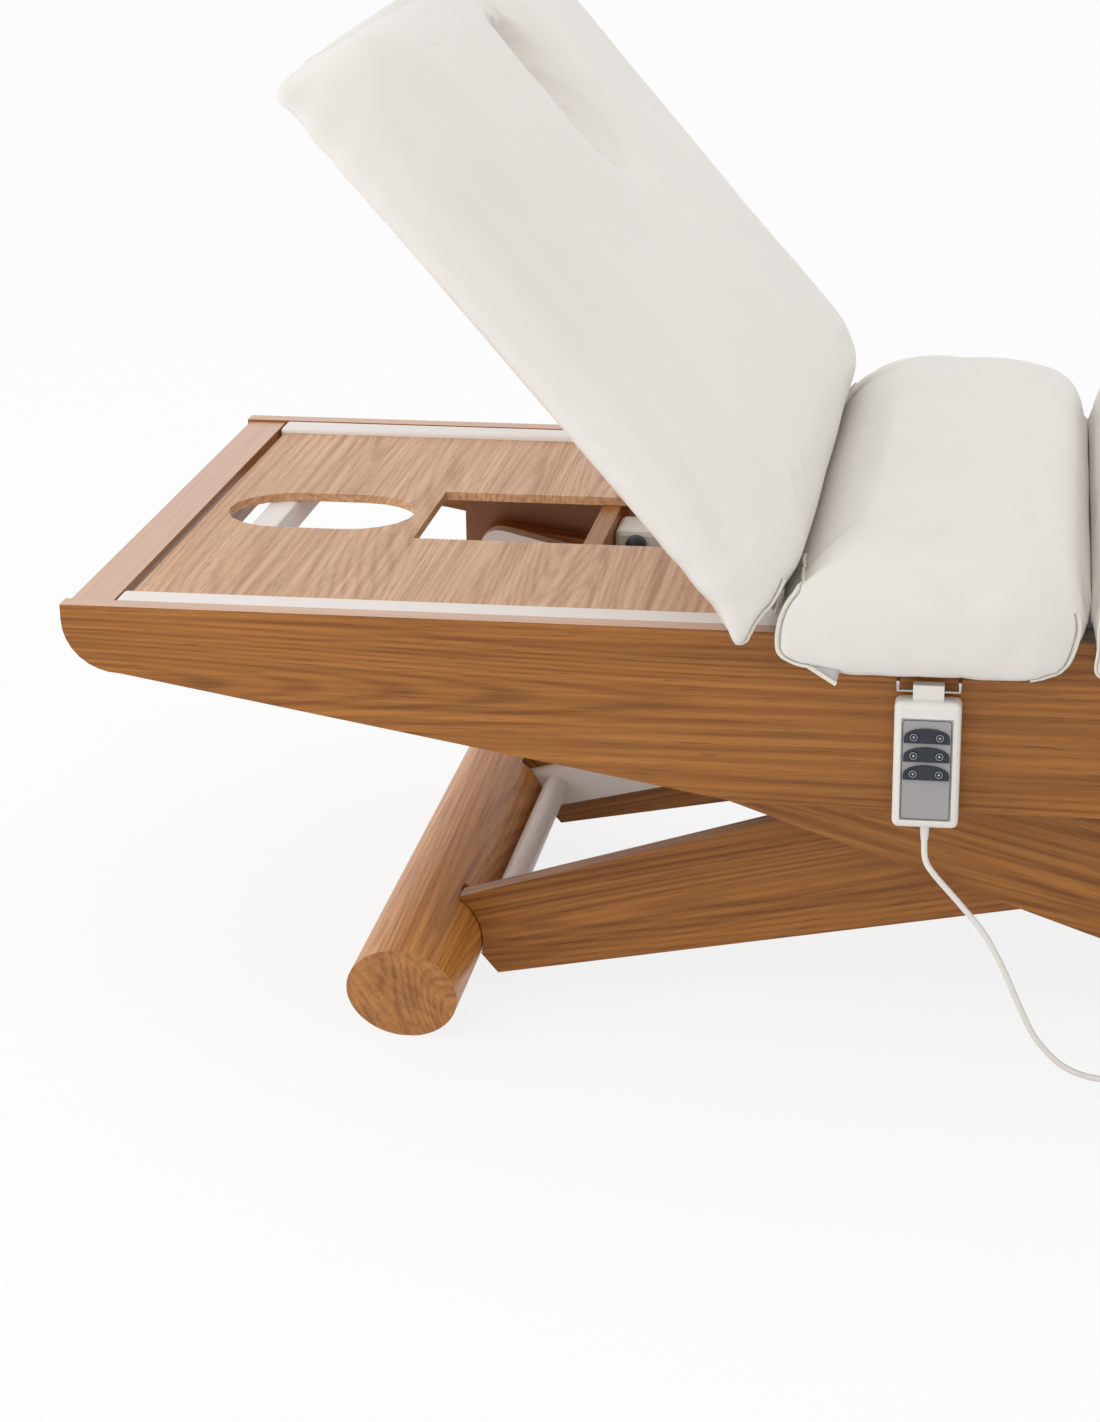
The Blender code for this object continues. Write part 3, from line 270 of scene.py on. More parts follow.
class SpaBedShapes(bpy.types.PropertyGroup):
    """Sizes of the pieces that dress the bed."""

    voxel: length_property("Cover mesh", "Grid size of a cushion's cover", 0.0065)
    shrink: length_property("Cover slack", "How far a cover starts inside its foam", 0.004)
    swell: length_property("Cover swell", "The most that a cover may move as it fills", 0.004)
    pressure: FloatProperty(
        name="Pressure", description="Filling pressure of a cover", default=4.0, min=0.0
    )
    frames: IntProperty(name="Frames", description="Steps for which a cover fills", default=16, min=2)
    proud: length_property("Cover proud", "How far a filled cover stands proud of its foam", 0.002)
    welt: length_property("Welt", "Radius of the welt on a cushion's edge", 0.0022)
    welt_inset: length_property("Welt inset", "How far the welt lies inside the cushion's side face", 0.021)
    seat_inset: length_property("Seat welt inset", "The same, where the seat meets the back", 0.017)
    # Radius of the dark tube painted as the shadow beside a welt.
    seam: length_property("Seam", "Radius of the dark line painted as a welt's shadow", 0.0006)
    cord: length_property("Cord", "Radius of the handset's cord", 0.003)
    knob: length_property("Knob", "Radius of the knob on the leg motor", 0.011)
    key_ring: length_property("Key ring", "Radius of the pale ring on a key", 0.0033)


class SpaBedStage(bpy.types.PropertyGroup):
    """Camera and studio light."""

    camera_place: FloatVectorProperty(
        name="Camera",
        description="Place of the camera",
        default=(-0.0006, -3.1226, 1.3584),
        subtype="XYZ",
        unit="LENGTH",
    )
    camera_turn: angle_property("Turn", "Turn to the left", 7.143)
    camera_tilt: angle_property("Tilt", "Tilt down", 19.767)
    lens: FloatProperty(name="Lens", description="Focal length", default=78.2, min=1.0, unit="CAMERA")
    shift: FloatVectorProperty(name="Shift", description="Lens shift", default=(-0.0781, 0.0059), size=2)
    key_light: power_property("Key light", 9.0)
    fill_light: power_property("Fill light", 3.5)
    low_light: power_property("Low light", 20.0)
    sky: FloatProperty(name="Sky", description="Strength of the world", default=0.90, min=0.0)


def finishes():
    return bpy.context.scene.spa_bed_finishes


def shapes():
    return bpy.context.scene.spa_bed_shapes


def stage():
    return bpy.context.scene.spa_bed_stage


def new_object(name, data):
    made = bpy.data.objects.new(name, data)
    bpy.context.scene.collection.objects.link(made)
    return made


def new_material(name):
    material = bpy.data.materials.new(name)
    material.use_nodes = True
    tree = material.node_tree
    return material, tree, tree.nodes["Principled BSDF"]


def add_node(tree, kind, **inputs):
    node = tree.nodes.new(kind)
    for name, value in inputs.items():
        node.inputs[name.replace("_", " ")].default_value = value
    return node


def new_group(name, inputs, outputs):
    """An empty shader group with named sockets, given as (name, type, default)."""
    group = bpy.data.node_groups.new(name, "ShaderNodeTree")
    for socket, kind, default in inputs:
        made = group.interface.new_socket(socket, in_out="INPUT", socket_type=kind)
        if default is not None:
            made.default_value = default
    for socket, kind in outputs:
        group.interface.new_socket(socket, in_out="OUTPUT", socket_type=kind)
    return group, group.nodes.new("NodeGroupInput"), group.nodes.new("NodeGroupOutput")


def math_node(tree, operation, first, second=0.0):
    node = tree.nodes.new("ShaderNodeMath")
    node.operation = operation
    node.use_clamp = operation in ("ADD", "SUBTRACT")
    for socket, value in zip(node.inputs, (first, second)):
        if isinstance(value, (int, float)):
            socket.default_value = value
        else:
            tree.links.new(value, socket)
    return node.outputs[0]


def stretched_noise(tree, vector, stretch, detail, roughness):
    mapping = tree.nodes.new("ShaderNodeMapping")
    mapping.inputs["Scale"].default_value = stretch
    tree.links.new(vector, mapping.inputs["Vector"])
    noise = add_node(tree, "ShaderNodeTexNoise", Scale=1.0, Detail=detail, Roughness=roughness)
    tree.links.new(mapping.outputs["Vector"], noise.inputs["Vector"])
    return noise.outputs["Fac"]


def value_range(tree, value, low, high, out_low=0.0, out_high=1.0):
    node = tree.nodes.new("ShaderNodeMapRange")
    node.inputs["From Min"].default_value = low
    node.inputs["From Max"].default_value = high
    node.inputs["To Min"].default_value = out_low
    node.inputs["To Max"].default_value = out_high
    tree.links.new(value, node.inputs["Value"])
    return node.outputs["Result"]


def mix_colour(tree, factor, first, second):
    node = tree.nodes.new("ShaderNodeMix")
    node.data_type = "RGBA"
    tree.links.new(factor, node.inputs[0])
    for socket, value in ((node.inputs[6], first), (node.inputs[7], second)):
        if isinstance(value, bpy.types.NodeSocket):
            tree.links.new(value, socket)
        else:
            socket.default_value = (*value, 1.0)
    return node.outputs[2]


def oak_group():
    """Veneer with its grain along the X of the vector: figure, fine lines and short dark pores."""
    group = bpy.data.node_groups.get("oak_veneer")
    if group:
        return group
    group, given, made = new_group(
        "oak_veneer",
        (
            ("Vector", "NodeSocketVector", None),
            ("Light", "NodeSocketColor", (0.43, 0.16, 0.035, 1.0)),
            ("Dark", "NodeSocketColor", (0.20, 0.06, 0.012, 1.0)),
            ("Figure", "NodeSocketFloat", 0.3),
        ),
        (("Color", "NodeSocketColor"), ("Roughness", "NodeSocketFloat"), ("Height", "NodeSocketFloat")),
    )
    vector = given.outputs["Vector"]
    slow = stretched_noise(group, vector, (0.34, 6.0, 6.0), detail=1.0, roughness=0.4)
    broad = stretched_noise(group, vector, (0.8, 15.0, 15.0), detail=3.0, roughness=0.6)
    lines = stretched_noise(group, vector, (2.0, 150.0, 150.0), detail=4.0, roughness=0.62)
    pore = stretched_noise(group, vector, (26.0, 700.0, 700.0), detail=2.0, roughness=0.5)
    rings = math_node(group, "SINE", math_node(group, "MULTIPLY", slow, FIGURE_WAVES))
    figure = value_range(group, rings, -0.35, 1.0)
    figure_part = math_node(group, "MULTIPLY", figure, given.outputs["Figure"])
    line_part = math_node(group, "MULTIPLY", value_range(group, lines, 0.37, 0.63), 0.55)
    broad_part = math_node(group, "MULTIPLY", value_range(group, broad, 0.34, 0.68), 0.20)
    total = math_node(group, "ADD", math_node(group, "ADD", figure_part, line_part), broad_part)
    veneer = mix_colour(group, total, given.outputs["Light"], given.outputs["Dark"])
    pore_share = math_node(group, "MULTIPLY", value_range(group, pore, 0.60, 0.72), 0.45)
    darker = mix_colour(group, pore_share, veneer, PORE_COLOUR)
    group.links.new(darker, made.inputs["Color"])
    group.links.new(value_range(group, lines, 0.3, 0.7, 0.34, 0.46), made.inputs["Roughness"])
    relief = math_node(group, "MULTIPLY", lines, 0.35)
    group.links.new(math_node(group, "SUBTRACT", relief, pore_share), made.inputs["Height"])
    return group


def grain_group():
    """Fine pebbled grain with a slow change of tone."""
    group = bpy.data.node_groups.get("pebbled_grain")
    if group:
        return group
    group, given, made = new_group(
        "pebbled_grain",
        (
            ("Color", "NodeSocketColor", (0.8, 0.8, 0.8, 1.0)),
            ("Shade", "NodeSocketColor", (0.7, 0.7, 0.7, 1.0)),
            ("Grain", "NodeSocketFloat", 500.0),
            ("Roughness", "NodeSocketFloat", 0.45),
        ),
        (("Color", "NodeSocketColor"), ("Roughness", "NodeSocketFloat"), ("Height", "NodeSocketFloat")),
    )
    place = group.nodes.new("ShaderNodeTexCoord")
    cells = group.nodes.new("ShaderNodeTexVoronoi")
    cells.feature = "SMOOTH_F1"
    group.links.new(place.outputs["Object"], cells.inputs["Vector"])
    group.links.new(given.outputs["Grain"], cells.inputs["Scale"])
    slow = add_node(group, "ShaderNodeTexNoise", Scale=3.2, Detail=4.0, Roughness=0.55)
    group.links.new(place.outputs["Object"], slow.inputs["Vector"])
    tone = value_range(group, slow.outputs["Fac"], 0.35, 0.72)
    cell = value_range(group, cells.outputs["Distance"], 0.0, 0.9)
    colour = mix_colour(group, tone, given.outputs["Color"], given.outputs["Shade"])
    group.links.new(colour, made.inputs["Color"])
    spread = math_node(group, "MULTIPLY", cell, 0.10)
    group.links.new(math_node(group, "ADD", given.outputs["Roughness"], spread), made.inputs["Roughness"])
    group.links.new(cell, made.inputs["Height"])
    return group


def bump_into(tree, shader, height, strength, distance):
    bump = add_node(tree, "ShaderNodeBump", Strength=strength, Distance=distance)
    tree.links.new(height, bump.inputs["Height"])
    tree.links.new(bump.outputs["Normal"], shader.inputs["Normal"])


def normal_part(tree, place, axis):
    """One part of the surface's direction, in the piece's own axes."""
    split = tree.nodes.new("ShaderNodeSeparateXYZ")
    tree.links.new(place.outputs["Normal"], split.inputs["Vector"])
    return split.outputs[axis]


def oak_material(
    name, light, dark, turn=(0.0, 0.0, 0.0), shift=(0.0, 0.0, 0.0), arch=1.0, end_axis=None, top=False
):
    """Veneer with its grain turned to the piece. Log ends have their own cut, rail tops a painted sheen."""
    material = bpy.data.materials.get(name)
    if material:
        return material
    material, tree, shader = new_material(name)
    place = tree.nodes.new("ShaderNodeTexCoord")
    veneers = [(light, dark, turn)]
    if end_axis is not None:
        veneers.append((finishes().end_light, finishes().end_dark, END_CUT))
    made = []
    for pale, deep, angle in veneers:
        mapping = tree.nodes.new("ShaderNodeMapping")
        mapping.inputs["Rotation"].default_value = angle
        mapping.inputs["Location"].default_value = shift
        mapping.inputs["Scale"].default_value = (1.0, arch, 1.0) if turn[2] else (arch, 1.0, 1.0)
        tree.links.new(place.outputs["Object"], mapping.inputs["Vector"])
        veneer = tree.nodes.new("ShaderNodeGroup")
        veneer.node_tree = oak_group()
        veneer.inputs["Light"].default_value = (*pale, 1.0)
        veneer.inputs["Dark"].default_value = (*deep, 1.0)
        veneer.inputs["Figure"].default_value = finishes().figure
        tree.links.new(mapping.outputs["Vector"], veneer.inputs["Vector"])
        made.append(veneer)
    colour = made[0].outputs["Color"]
    if end_axis is not None:
        endwise = math_node(tree, "ABSOLUTE", normal_part(tree, place, end_axis))
        share = value_range(tree, endwise, 0.8, 0.9)
        colour = mix_colour(tree, share, colour, made[1].outputs["Color"])
    # Upward faces are mixed to a paler colour: painted sheen for the gloss on the tops.
    if top:
        upward = value_range(tree, normal_part(tree, place, 2), 0.85, 0.95)
        share = math_node(tree, "MULTIPLY", upward, 0.72)
        colour = mix_colour(tree, share, colour, tuple(finishes().painted_top_sheen))
    tree.links.new(colour, shader.inputs["Base Color"])
    tree.links.new(made[0].outputs["Roughness"], shader.inputs["Roughness"])
    shader.inputs["Specular IOR Level"].default_value = 0.32
    shader.inputs["Coat Weight"].default_value = 0.08
    shader.inputs["Coat Roughness"].default_value = 0.25
    bump_into(tree, shader, made[0].outputs["Height"], strength=0.22, distance=0.0005)
    return material


def grain_material(name, colour, shade, grain, roughness, bump, distance=0.0003, metallic=0.0):
    """Leatherette, powder coat and moulded plastic, which differ in grain size and gloss."""
    material = bpy.data.materials.get(name)
    if material:
        return material
    material, tree, shader = new_material(name)
    shader.inputs["Metallic"].default_value = metallic
    surface = tree.nodes.new("ShaderNodeGroup")
    surface.node_tree = grain_group()
    surface.inputs["Color"].default_value = (*colour, 1.0)
    surface.inputs["Shade"].default_value = (*[value * shade for value in colour], 1.0)
    surface.inputs["Grain"].default_value = grain
    surface.inputs["Roughness"].default_value = roughness
    tree.links.new(surface.outputs["Color"], shader.inputs["Base Color"])
    tree.links.new(surface.outputs["Roughness"], shader.inputs["Roughness"])
    bump_into(tree, shader, surface.outputs["Height"], bump, distance)
    return material


def give(names, material):
    for name in names:
        for slot in NODES[name].material_slots:
            slot.material = material


def place_piece(name, bm, material, body, smooth=True):
    """A finished piece: its place is in its mesh, and it rides on a body."""
    mesh = bpy.data.meshes.new(name)
    bm.to_mesh(mesh)
    bm.free()
    if smooth:
        mesh.shade_smooth()
    mesh.materials.append(material)
    piece = new_object(name, mesh)
    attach(piece, body)
    return piece


def leatherette():
    material = grain_material(
        "cream_leatherette",
        finishes().leatherette,
        shade=0.955,
        grain=620.0,
        roughness=0.40,
        bump=0.16,
        distance=SOFT_BUMP,
    )
    shader = material.node_tree.nodes["Principled BSDF"]
    shader.inputs["Sheen Weight"].default_value = 0.08
    return material


def to_flat(point, section):
    """A point of the raised back, as if the back lay flat. Other sections lie flat already."""
    if section != "back":
        return Vector(point)
    turned = Vector(point) - BACK_HINGE
    turned.rotate(Matrix.Rotation(-BACK_ANGLE, 3, "Y"))
    return turned + BACK_HINGE


def from_flat(point, section):
    if section != "back":
        return Vector(point)
    turned = Vector(point) - BACK_HINGE
    turned.rotate(Matrix.Rotation(BACK_ANGLE, 3, "Y"))
    return turned + BACK_HINGE


def ramp(value, start, end):
    """Rises smoothly from 0 at the start to 1 at the end."""
    share = max(0.0, min(1.0, (value - start) / (end - start)))
    return share * share * (3.0 - 2.0 * share)


def cover_mesh(section):
    """The foam's solid, merged and gridded."""
    bm = bmesh.new()
    bm.from_mesh(NODES[section + "_cushion"].data)
    bmesh.ops.remove_doubles(bm, verts=bm.verts, dist=MERGE)
    mesh = bpy.data.meshes.new(section + "_foam")
    bm.to_mesh(mesh)
    bm.free()
    foam = new_object(section + "_foam", mesh)
    grid = foam.modifiers.new("grid", "REMESH")
    grid.mode = "VOXEL"
    grid.voxel_size = shapes().voxel
    bpy.context.view_layer.update()
    graph = bpy.context.evaluated_depsgraph_get()
    cover = bpy.data.meshes.new_from_object(foam.evaluated_get(graph))
    bpy.data.objects.remove(foam, do_unlink=True)
    bpy.data.meshes.remove(mesh)
    return cover


def soften(cover, flat, held):
    """Rounds the cover off, more on its crown than at its lower edge."""
    bm = bmesh.new()
    bm.from_mesh(cover)
    for height, rounds in SOFT_ROUNDS:
        free = [vert for vert, point, hold in zip(bm.verts, flat, held) if point.z > height and not hold]
        for _ in range(rounds):
            bmesh.ops.smooth_vert(
                bm, verts=free, factor=0.5, use_axis_x=True, use_axis_y=True, use_axis_z=True
            )
    bm.to_mesh(cover)
    bm.free()


def fit_cover(cover, section, held):
    """Stretches the filled cover to its foam's box, a little proud of it on the free sides."""
    flat = [to_flat(vert.co, section) for vert in cover.vertices]
    foam = [to_flat(vert.co, section) for vert in NODES[section + "_cushion"].data.vertices]
    for axis in range(3):
        low = min(point[axis] for point in flat)
        high = max(point[axis] for point in flat)
        start = min(point[axis] for point in foam)
        end = max(point[axis] for point in foam) + shapes().proud
        if axis < 2:
            start -= shapes().proud
        scale = (end - start) / (high - low)
        for point, hold in zip(flat, held):
            if not hold:
                point[axis] = start + (point[axis] - low) * scale
    for vert, point, hold in zip(cover.vertices, flat, held):
        if not hold:
            vert.co = from_flat(lean(point, section), section)


def lean(point, section):
    """Covers bulge where cushions meet, their lips hang, and the back's lower corners draw to a tip."""
    height = ramp(point.z, 0.440, 0.490)
    lip = ramp(abs(point.y), 0.392, 0.404) * ramp(point.z, 0.485, 0.440)
    moved = Vector(point)
    if section == "seat":
        moved.x += SEAT_BULGE * height * ramp(point.x, -0.010, 0.040)
        corner = ramp(abs(point.y), 0.383, 0.413) * ramp(point.x, -0.13, -0.19)
        moved.x -= (SEAT_CORNER_LOW + SEAT_CORNER_RISE * ramp(point.z, 0.445, 0.510)) * corner
        moved.z -= LIP_DROP * lip * ramp(point.x, -0.235, -0.135) * ramp(point.x, 0.062, 0.032)
    elif section == "leg":
        moved.x -= LEG_BULGE * height * ramp(point.x, 0.130, 0.070)
        moved.z -= LIP_DROP * lip * ramp(point.x, 0.09, 0.15) * ramp(point.x, 0.925, 0.895)
    else:
        moved.x += BACK_BULGE * ramp(point.x, -0.33, -0.28)
        place = (point.x, abs(point.y), point.z)
        away = sum(((at - tip) / reach) ** 2 for at, tip, reach in zip(place, BACK_TIP, BACK_TIP_REACH))
        out, aside, down = BACK_TIP_PULL
        moved += Vector((out, math.copysign(aside, point.y), down)) * math.exp(-away)
    return moved


def underside(flat_points):
    """Which points are held: 1 on the board, 0 on the cover's free sides and top."""
    held = []
    for point in flat_points:
        inside = abs(point.y) < HELD_HALF_WIDTH
        low = point.z < HELD_BELOW
        held.append(1.0 if inside and low else 0.0)
    return held


def fill_cover(cover, held):
    """Fills the cover with pressure and returns how far each point moved."""
    scene = bpy.context.scene
    piece = new_object("cover_filling", cover)
    group = piece.vertex_groups.new(name="held")
    group.add([index for index, value in enumerate(held) if value], 1.0, "REPLACE")
    cloth = piece.modifiers.new("fill", "CLOTH")
    settings = cloth.settings
    settings.quality = 4
    settings.mass = 0.25
    settings.tension_stiffness = 25
    settings.compression_stiffness = 25
    settings.shear_stiffness = 10
    settings.bending_stiffness = 0.4
    settings.use_pressure = True
    settings.uniform_pressure_force = shapes().pressure
    settings.vertex_group_mass = "held"
    settings.effector_weights.gravity = 0.0
    cloth.collision_settings.use_collision = False
    cloth.point_cache.frame_start = 1
    cloth.point_cache.frame_end = shapes().frames
    for step in range(1, shapes().frames + 1):
        scene.frame_set(step)
    graph = bpy.context.evaluated_depsgraph_get()
    filled = piece.evaluated_get(graph).data
    moved = [after.co - before.co for after, before in zip(filled.vertices, cover.vertices)]
    scene.frame_set(1)
    bpy.data.objects.remove(piece, do_unlink=True)
    return moved


def pucker(point, section):
    """Slow waves on the faces, soft gathers at the lower corners and one crease on the seat."""
    height = point.z - COVER_FOOT
    side = ramp(abs(point.y), 0.36, 0.41)
    amount = 0.0
    for corner_x in SECTION_ENDS[section]:
        away = abs(point.x - corner_x)
        near = math.exp(-((away / GATHER_REACH) ** 2) - (height / GATHER_HEIGHT) ** 2) * side
        amount += GATHER * near * math.sin(away * 140.0 + height * 60.0)
    if section == "seat":
        start, top = CREASE_PLACE
        aside = (point.x - start - CREASE_SLOPE * (top - point.z)) / CREASE_WIDTH
        span = ramp(point.z, 0.450, 0.470) * ramp(point.z, 0.545, 0.525)
        amount -= CREASE * math.exp(-(aside**2)) * side * span
    wave = math.sin(point.x * 21.0 + point.y * 8.0) * math.sin(point.y * 15.0 - point.x * 6.0)
    return amount + WAVE * wave * ramp(height, 0.0, 0.06)


def make_cover(section):
    """One cushion cover over its foam solid."""
    cover = cover_mesh(section)
    flat = [to_flat(vert.co, section) for vert in cover.vertices]
    held = underside(flat)
    soften(cover, flat, held)
    normals = [Vector(normal.vector) for normal in cover.vertex_normals]
    for vert, normal, hold in zip(cover.vertices, normals, held):
        vert.co = vert.co - normal * shapes().shrink * (1.0 - hold)
    for vert, step in zip(cover.vertices, fill_cover(cover, held)):
        length = step.length
        if length > shapes().swell:
            step = step * (shapes().swell / length)
        vert.co = vert.co + step
    fit_cover(cover, section, held)
    cover.update()
    normals = [Vector(normal.vector) for normal in cover.vertex_normals]
    for vert, normal, hold in zip(cover.vertices, normals, held):
        point = to_flat(vert.co, section)
        vert.co = vert.co + normal * pucker(point, section) * (1.0 - hold)
    cover.name = section + "_cover"
    cover.shade_smooth()
    cover.materials.clear()
    cover.materials.append(leatherette())
    piece = new_object(section + "_cover", cover)
    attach(piece, SECTION_BODIES[section])
    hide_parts(section + "_cushion")
    return piece


def tube_curve(name, paths, radius, material):
    """One tube for each path, with closed ends."""
    curve = bpy.data.curves.new(name, "CURVE")
    curve.dimensions = "3D"
    curve.bevel_depth = radius
    curve.bevel_resolution = 4
    curve.use_fill_caps = True
    for path in paths:
        spline = curve.splines.new("POLY")
        spline.points.add(len(path) - 1)
        for point, place in zip(spline.points, path):
            point.co = (*place, 1.0)
        spline.use_smooth = True
    curve.materials.append(material)
    return new_object(name, curve)


def on_cover(tree, point):
    """The nearest place on the cover, for a welt that is partly sunk into it."""
    place, normal = tree.find_nearest(point)[:2]
    return place + normal * shapes().welt * WELT_RISE


def beside(tree, point, centre, sign):
    """A place on the cover next to the welt, towards the middle of the side face, for its painted shadow.
    """
    inward = Vector((centre[0] - point.x, 0.0, centre[1] - point.z)).normalized()
    step = inward * SHADOW_LINE_INWARD + Vector((0.0, sign * SHADOW_LINE_OUTWARD, 0.0))
    place = point + step * shapes().welt
    return tree.find_nearest(place)[0]


def edge_path(tree, sign, across, turns, runs_across):
    """A path on the cover, round one end of the section's outline as seen from the side."""
    centre, start, end = turns
    hits = []
    if runs_across:
        level = centre[1] + RUN_LEVEL * math.sin(math.radians(start))
        for step in range(RUN_STEPS):
            aside = sign * (RUN_START + (RUN_LENGTH - across) * step / RUN_STEPS)
            outside = Vector((centre[0] - RAY_LENGTH, aside, level))
            hits.append(tree.ray_cast(outside, Vector((1.0, 0.0, 0.0)))[0])
    steps = int(abs(end - start))
    for step in range(steps + 1):
        angle = math.radians(start + (end - start) * step / steps)
        outward = Vector((math.cos(angle), 0.0, math.sin(angle)))
        inset = across * (1.0 - INSET_LOSS * ramp(-math.sin(angle), 0.0, 0.6))
        aside = sign * (COVER_HALF_WIDTH - inset)
        outside = Vector((centre[0], aside, centre[1])) + outward * RAY_LENGTH
        hit = tree.ray_cast(outside, -outward)[0]
        if hit is not None and (hit - outside).length < RAY_LENGTH:
            hits.append(hit)
    for _ in range(PATH_ROUNDS):
        inner = [(a + 2 * b + c) / 4 for a, b, c in zip(hits, hits[1:], hits[2:])]
        hits = [hits[0], *inner, hits[-1]]
    return [on_cover(tree, hit) for hit in hits]


def make_welt(section, cover):
    """Welts round the ends of a cushion's side faces, each with a dark line beside it as painted shadow."""
    mesh = cover.data
    flat = [to_flat(vert.co, section) for vert in mesh.vertices]
    tree = BVHTree.FromPolygons(flat, [list(face.vertices) for face in mesh.polygons])
    welts = []
    painted_shadow_lines = []
    for sign in (-1, 1):
        for turns in WELT_TURNS[section]:
            meets_back = section == "seat" and turns is WELT_TURNS[section][0]
            across = shapes().seat_inset if meets_back else shapes().welt_inset
            path = edge_path(tree, sign, across, turns, meets_back and sign < 0)
            # A dark tube beside each welt paints the shadow along it.
            painted_shadow_lines.append([beside(tree, point, turns[0], sign) for point in path])
            if meets_back:
                tip = Vector((FLAP_TIP[0], sign * FLAP_TIP[1], FLAP_TIP[2]))
                if sign < 0:
                    make_flap(cover, path[-1], tip)
                path += [path[-1].lerp(tip, step / TAIL_STEPS) for step in range(1, TAIL_STEPS + 1)]
            welts.append(path)
    cream = grain_material(
        "welt_leatherette", finishes().welt, shade=0.95, grain=620.0, roughness=0.45, bump=0.1
    )
    # Dark material for the painted shadow line beside the welts.
    dark = grain_material("painted_shadow_line_tube", finishes().seam, shade=0.9, grain=1800.0, roughness=0.6, bump=0.1)
    for name, paths, radius, material in (
        ("welt", welts, shapes().welt, cream),
        ("seam", painted_shadow_lines, shapes().seam, dark),
    ):
        places = [[from_flat(point, section) for point in path] for path in paths]
        piece = tube_curve(f"{section}_{name}", places, radius, material)
        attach(piece, SECTION_BODIES[section])


def make_flap(cover, start, tip):
    """The loose corner of the seat's lining, which hangs below its lip."""
    # The flap's grey is painted shade: a darker copy of the lining for the shade under the lip.
    lining = grain_material(
        "flap_painted_shade", finishes().painted_shade_flap, shade=0.9, grain=1100.0, roughness=0.62, bump=0.25
    )
    lip = [vert.co.z for vert in cover.data.vertices if (vert.co - tip).to_2d().length < FLAP_REACH]
    along, rise = FLAP_HEEL
    heel = Vector((tip.x + along, tip.y, min(lip) + rise))
    painted_shade_flap = bmesh.new()
    painted_shade_flap.faces.new([painted_shade_flap.verts.new(corner) for corner in (start, tip, heel)])
    bmesh.ops.subdivide_edges(painted_shade_flap, edges=painted_shade_flap.edges[:], cuts=5, use_grid_fill=True)
    for vert in painted_shade_flap.verts:
        vert.co.y += FLAP_CURL * math.sin((vert.co.x - start.x) * 90.0)
    bmesh.ops.recalc_face_normals(painted_shade_flap, faces=painted_shade_flap.faces)
    area = sum(face.calc_area() for face in painted_shade_flap.faces)
    bmesh.ops.solidify(painted_shade_flap, geom=painted_shade_flap.faces[:], thickness=0.0005)
    piece = place_piece("seat_flap", painted_shade_flap, lining, "frame")


def smooth_path(points, steps):
    """Points on a smooth curve through the given ones."""
    path = []
    for i in range(len(points) - 1):
        before = Vector(points[max(i - 1, 0)])
        start = Vector(points[i])
        end = Vector(points[i + 1])
        after = Vector(points[min(i + 2, len(points) - 1)])
        for step in range(steps):
            t = step / steps
            linear = (end - before) * t
            square = (2 * before - 5 * start + 4 * end - after) * t**2
            cube = (3 * start - before - 3 * end + after) * t**3
            path.append(0.5 * (2 * start + linear + square + cube))
    path.append(Vector(points[-1]))
    return path


def turn_about_y(bm, merge):
    """Spins an outline full circle about the Y axis, and closes it."""
    bmesh.ops.spin(
        bm,
        geom=bm.verts[:] + bm.edges[:],
        cent=(0, 0, 0),
        axis=(0, 1, 0),
        angle=2 * math.pi,
        steps=TURN_STEPS,
        use_merge=True,
    )
    bmesh.ops.remove_doubles(bm, verts=bm.verts, dist=merge)
    bmesh.ops.recalc_face_normals(bm, faces=bm.faces)


def seen_directly(tree):
    """1 for what the camera sees, straight, in a reflection or through something clear."""
    path = tree.nodes.new("ShaderNodeLightPath")
    seen = math_node(tree, "MAXIMUM", path.outputs["Is Camera Ray"], path.outputs["Is Glossy Ray"])
    return math_node(tree, "MAXIMUM", seen, path.outputs["Is Transmission Ray"])


def mix_shaders(tree, factor, first, second, output):
    mix = tree.nodes.new("ShaderNodeMixShader")
    tree.links.new(factor, mix.inputs[0])
    tree.links.new(first.outputs[0], mix.inputs[1])
    tree.links.new(second.outputs[0], mix.inputs[2])
    tree.links.new(mix.outputs[0], tree.nodes[output].inputs["Surface"])


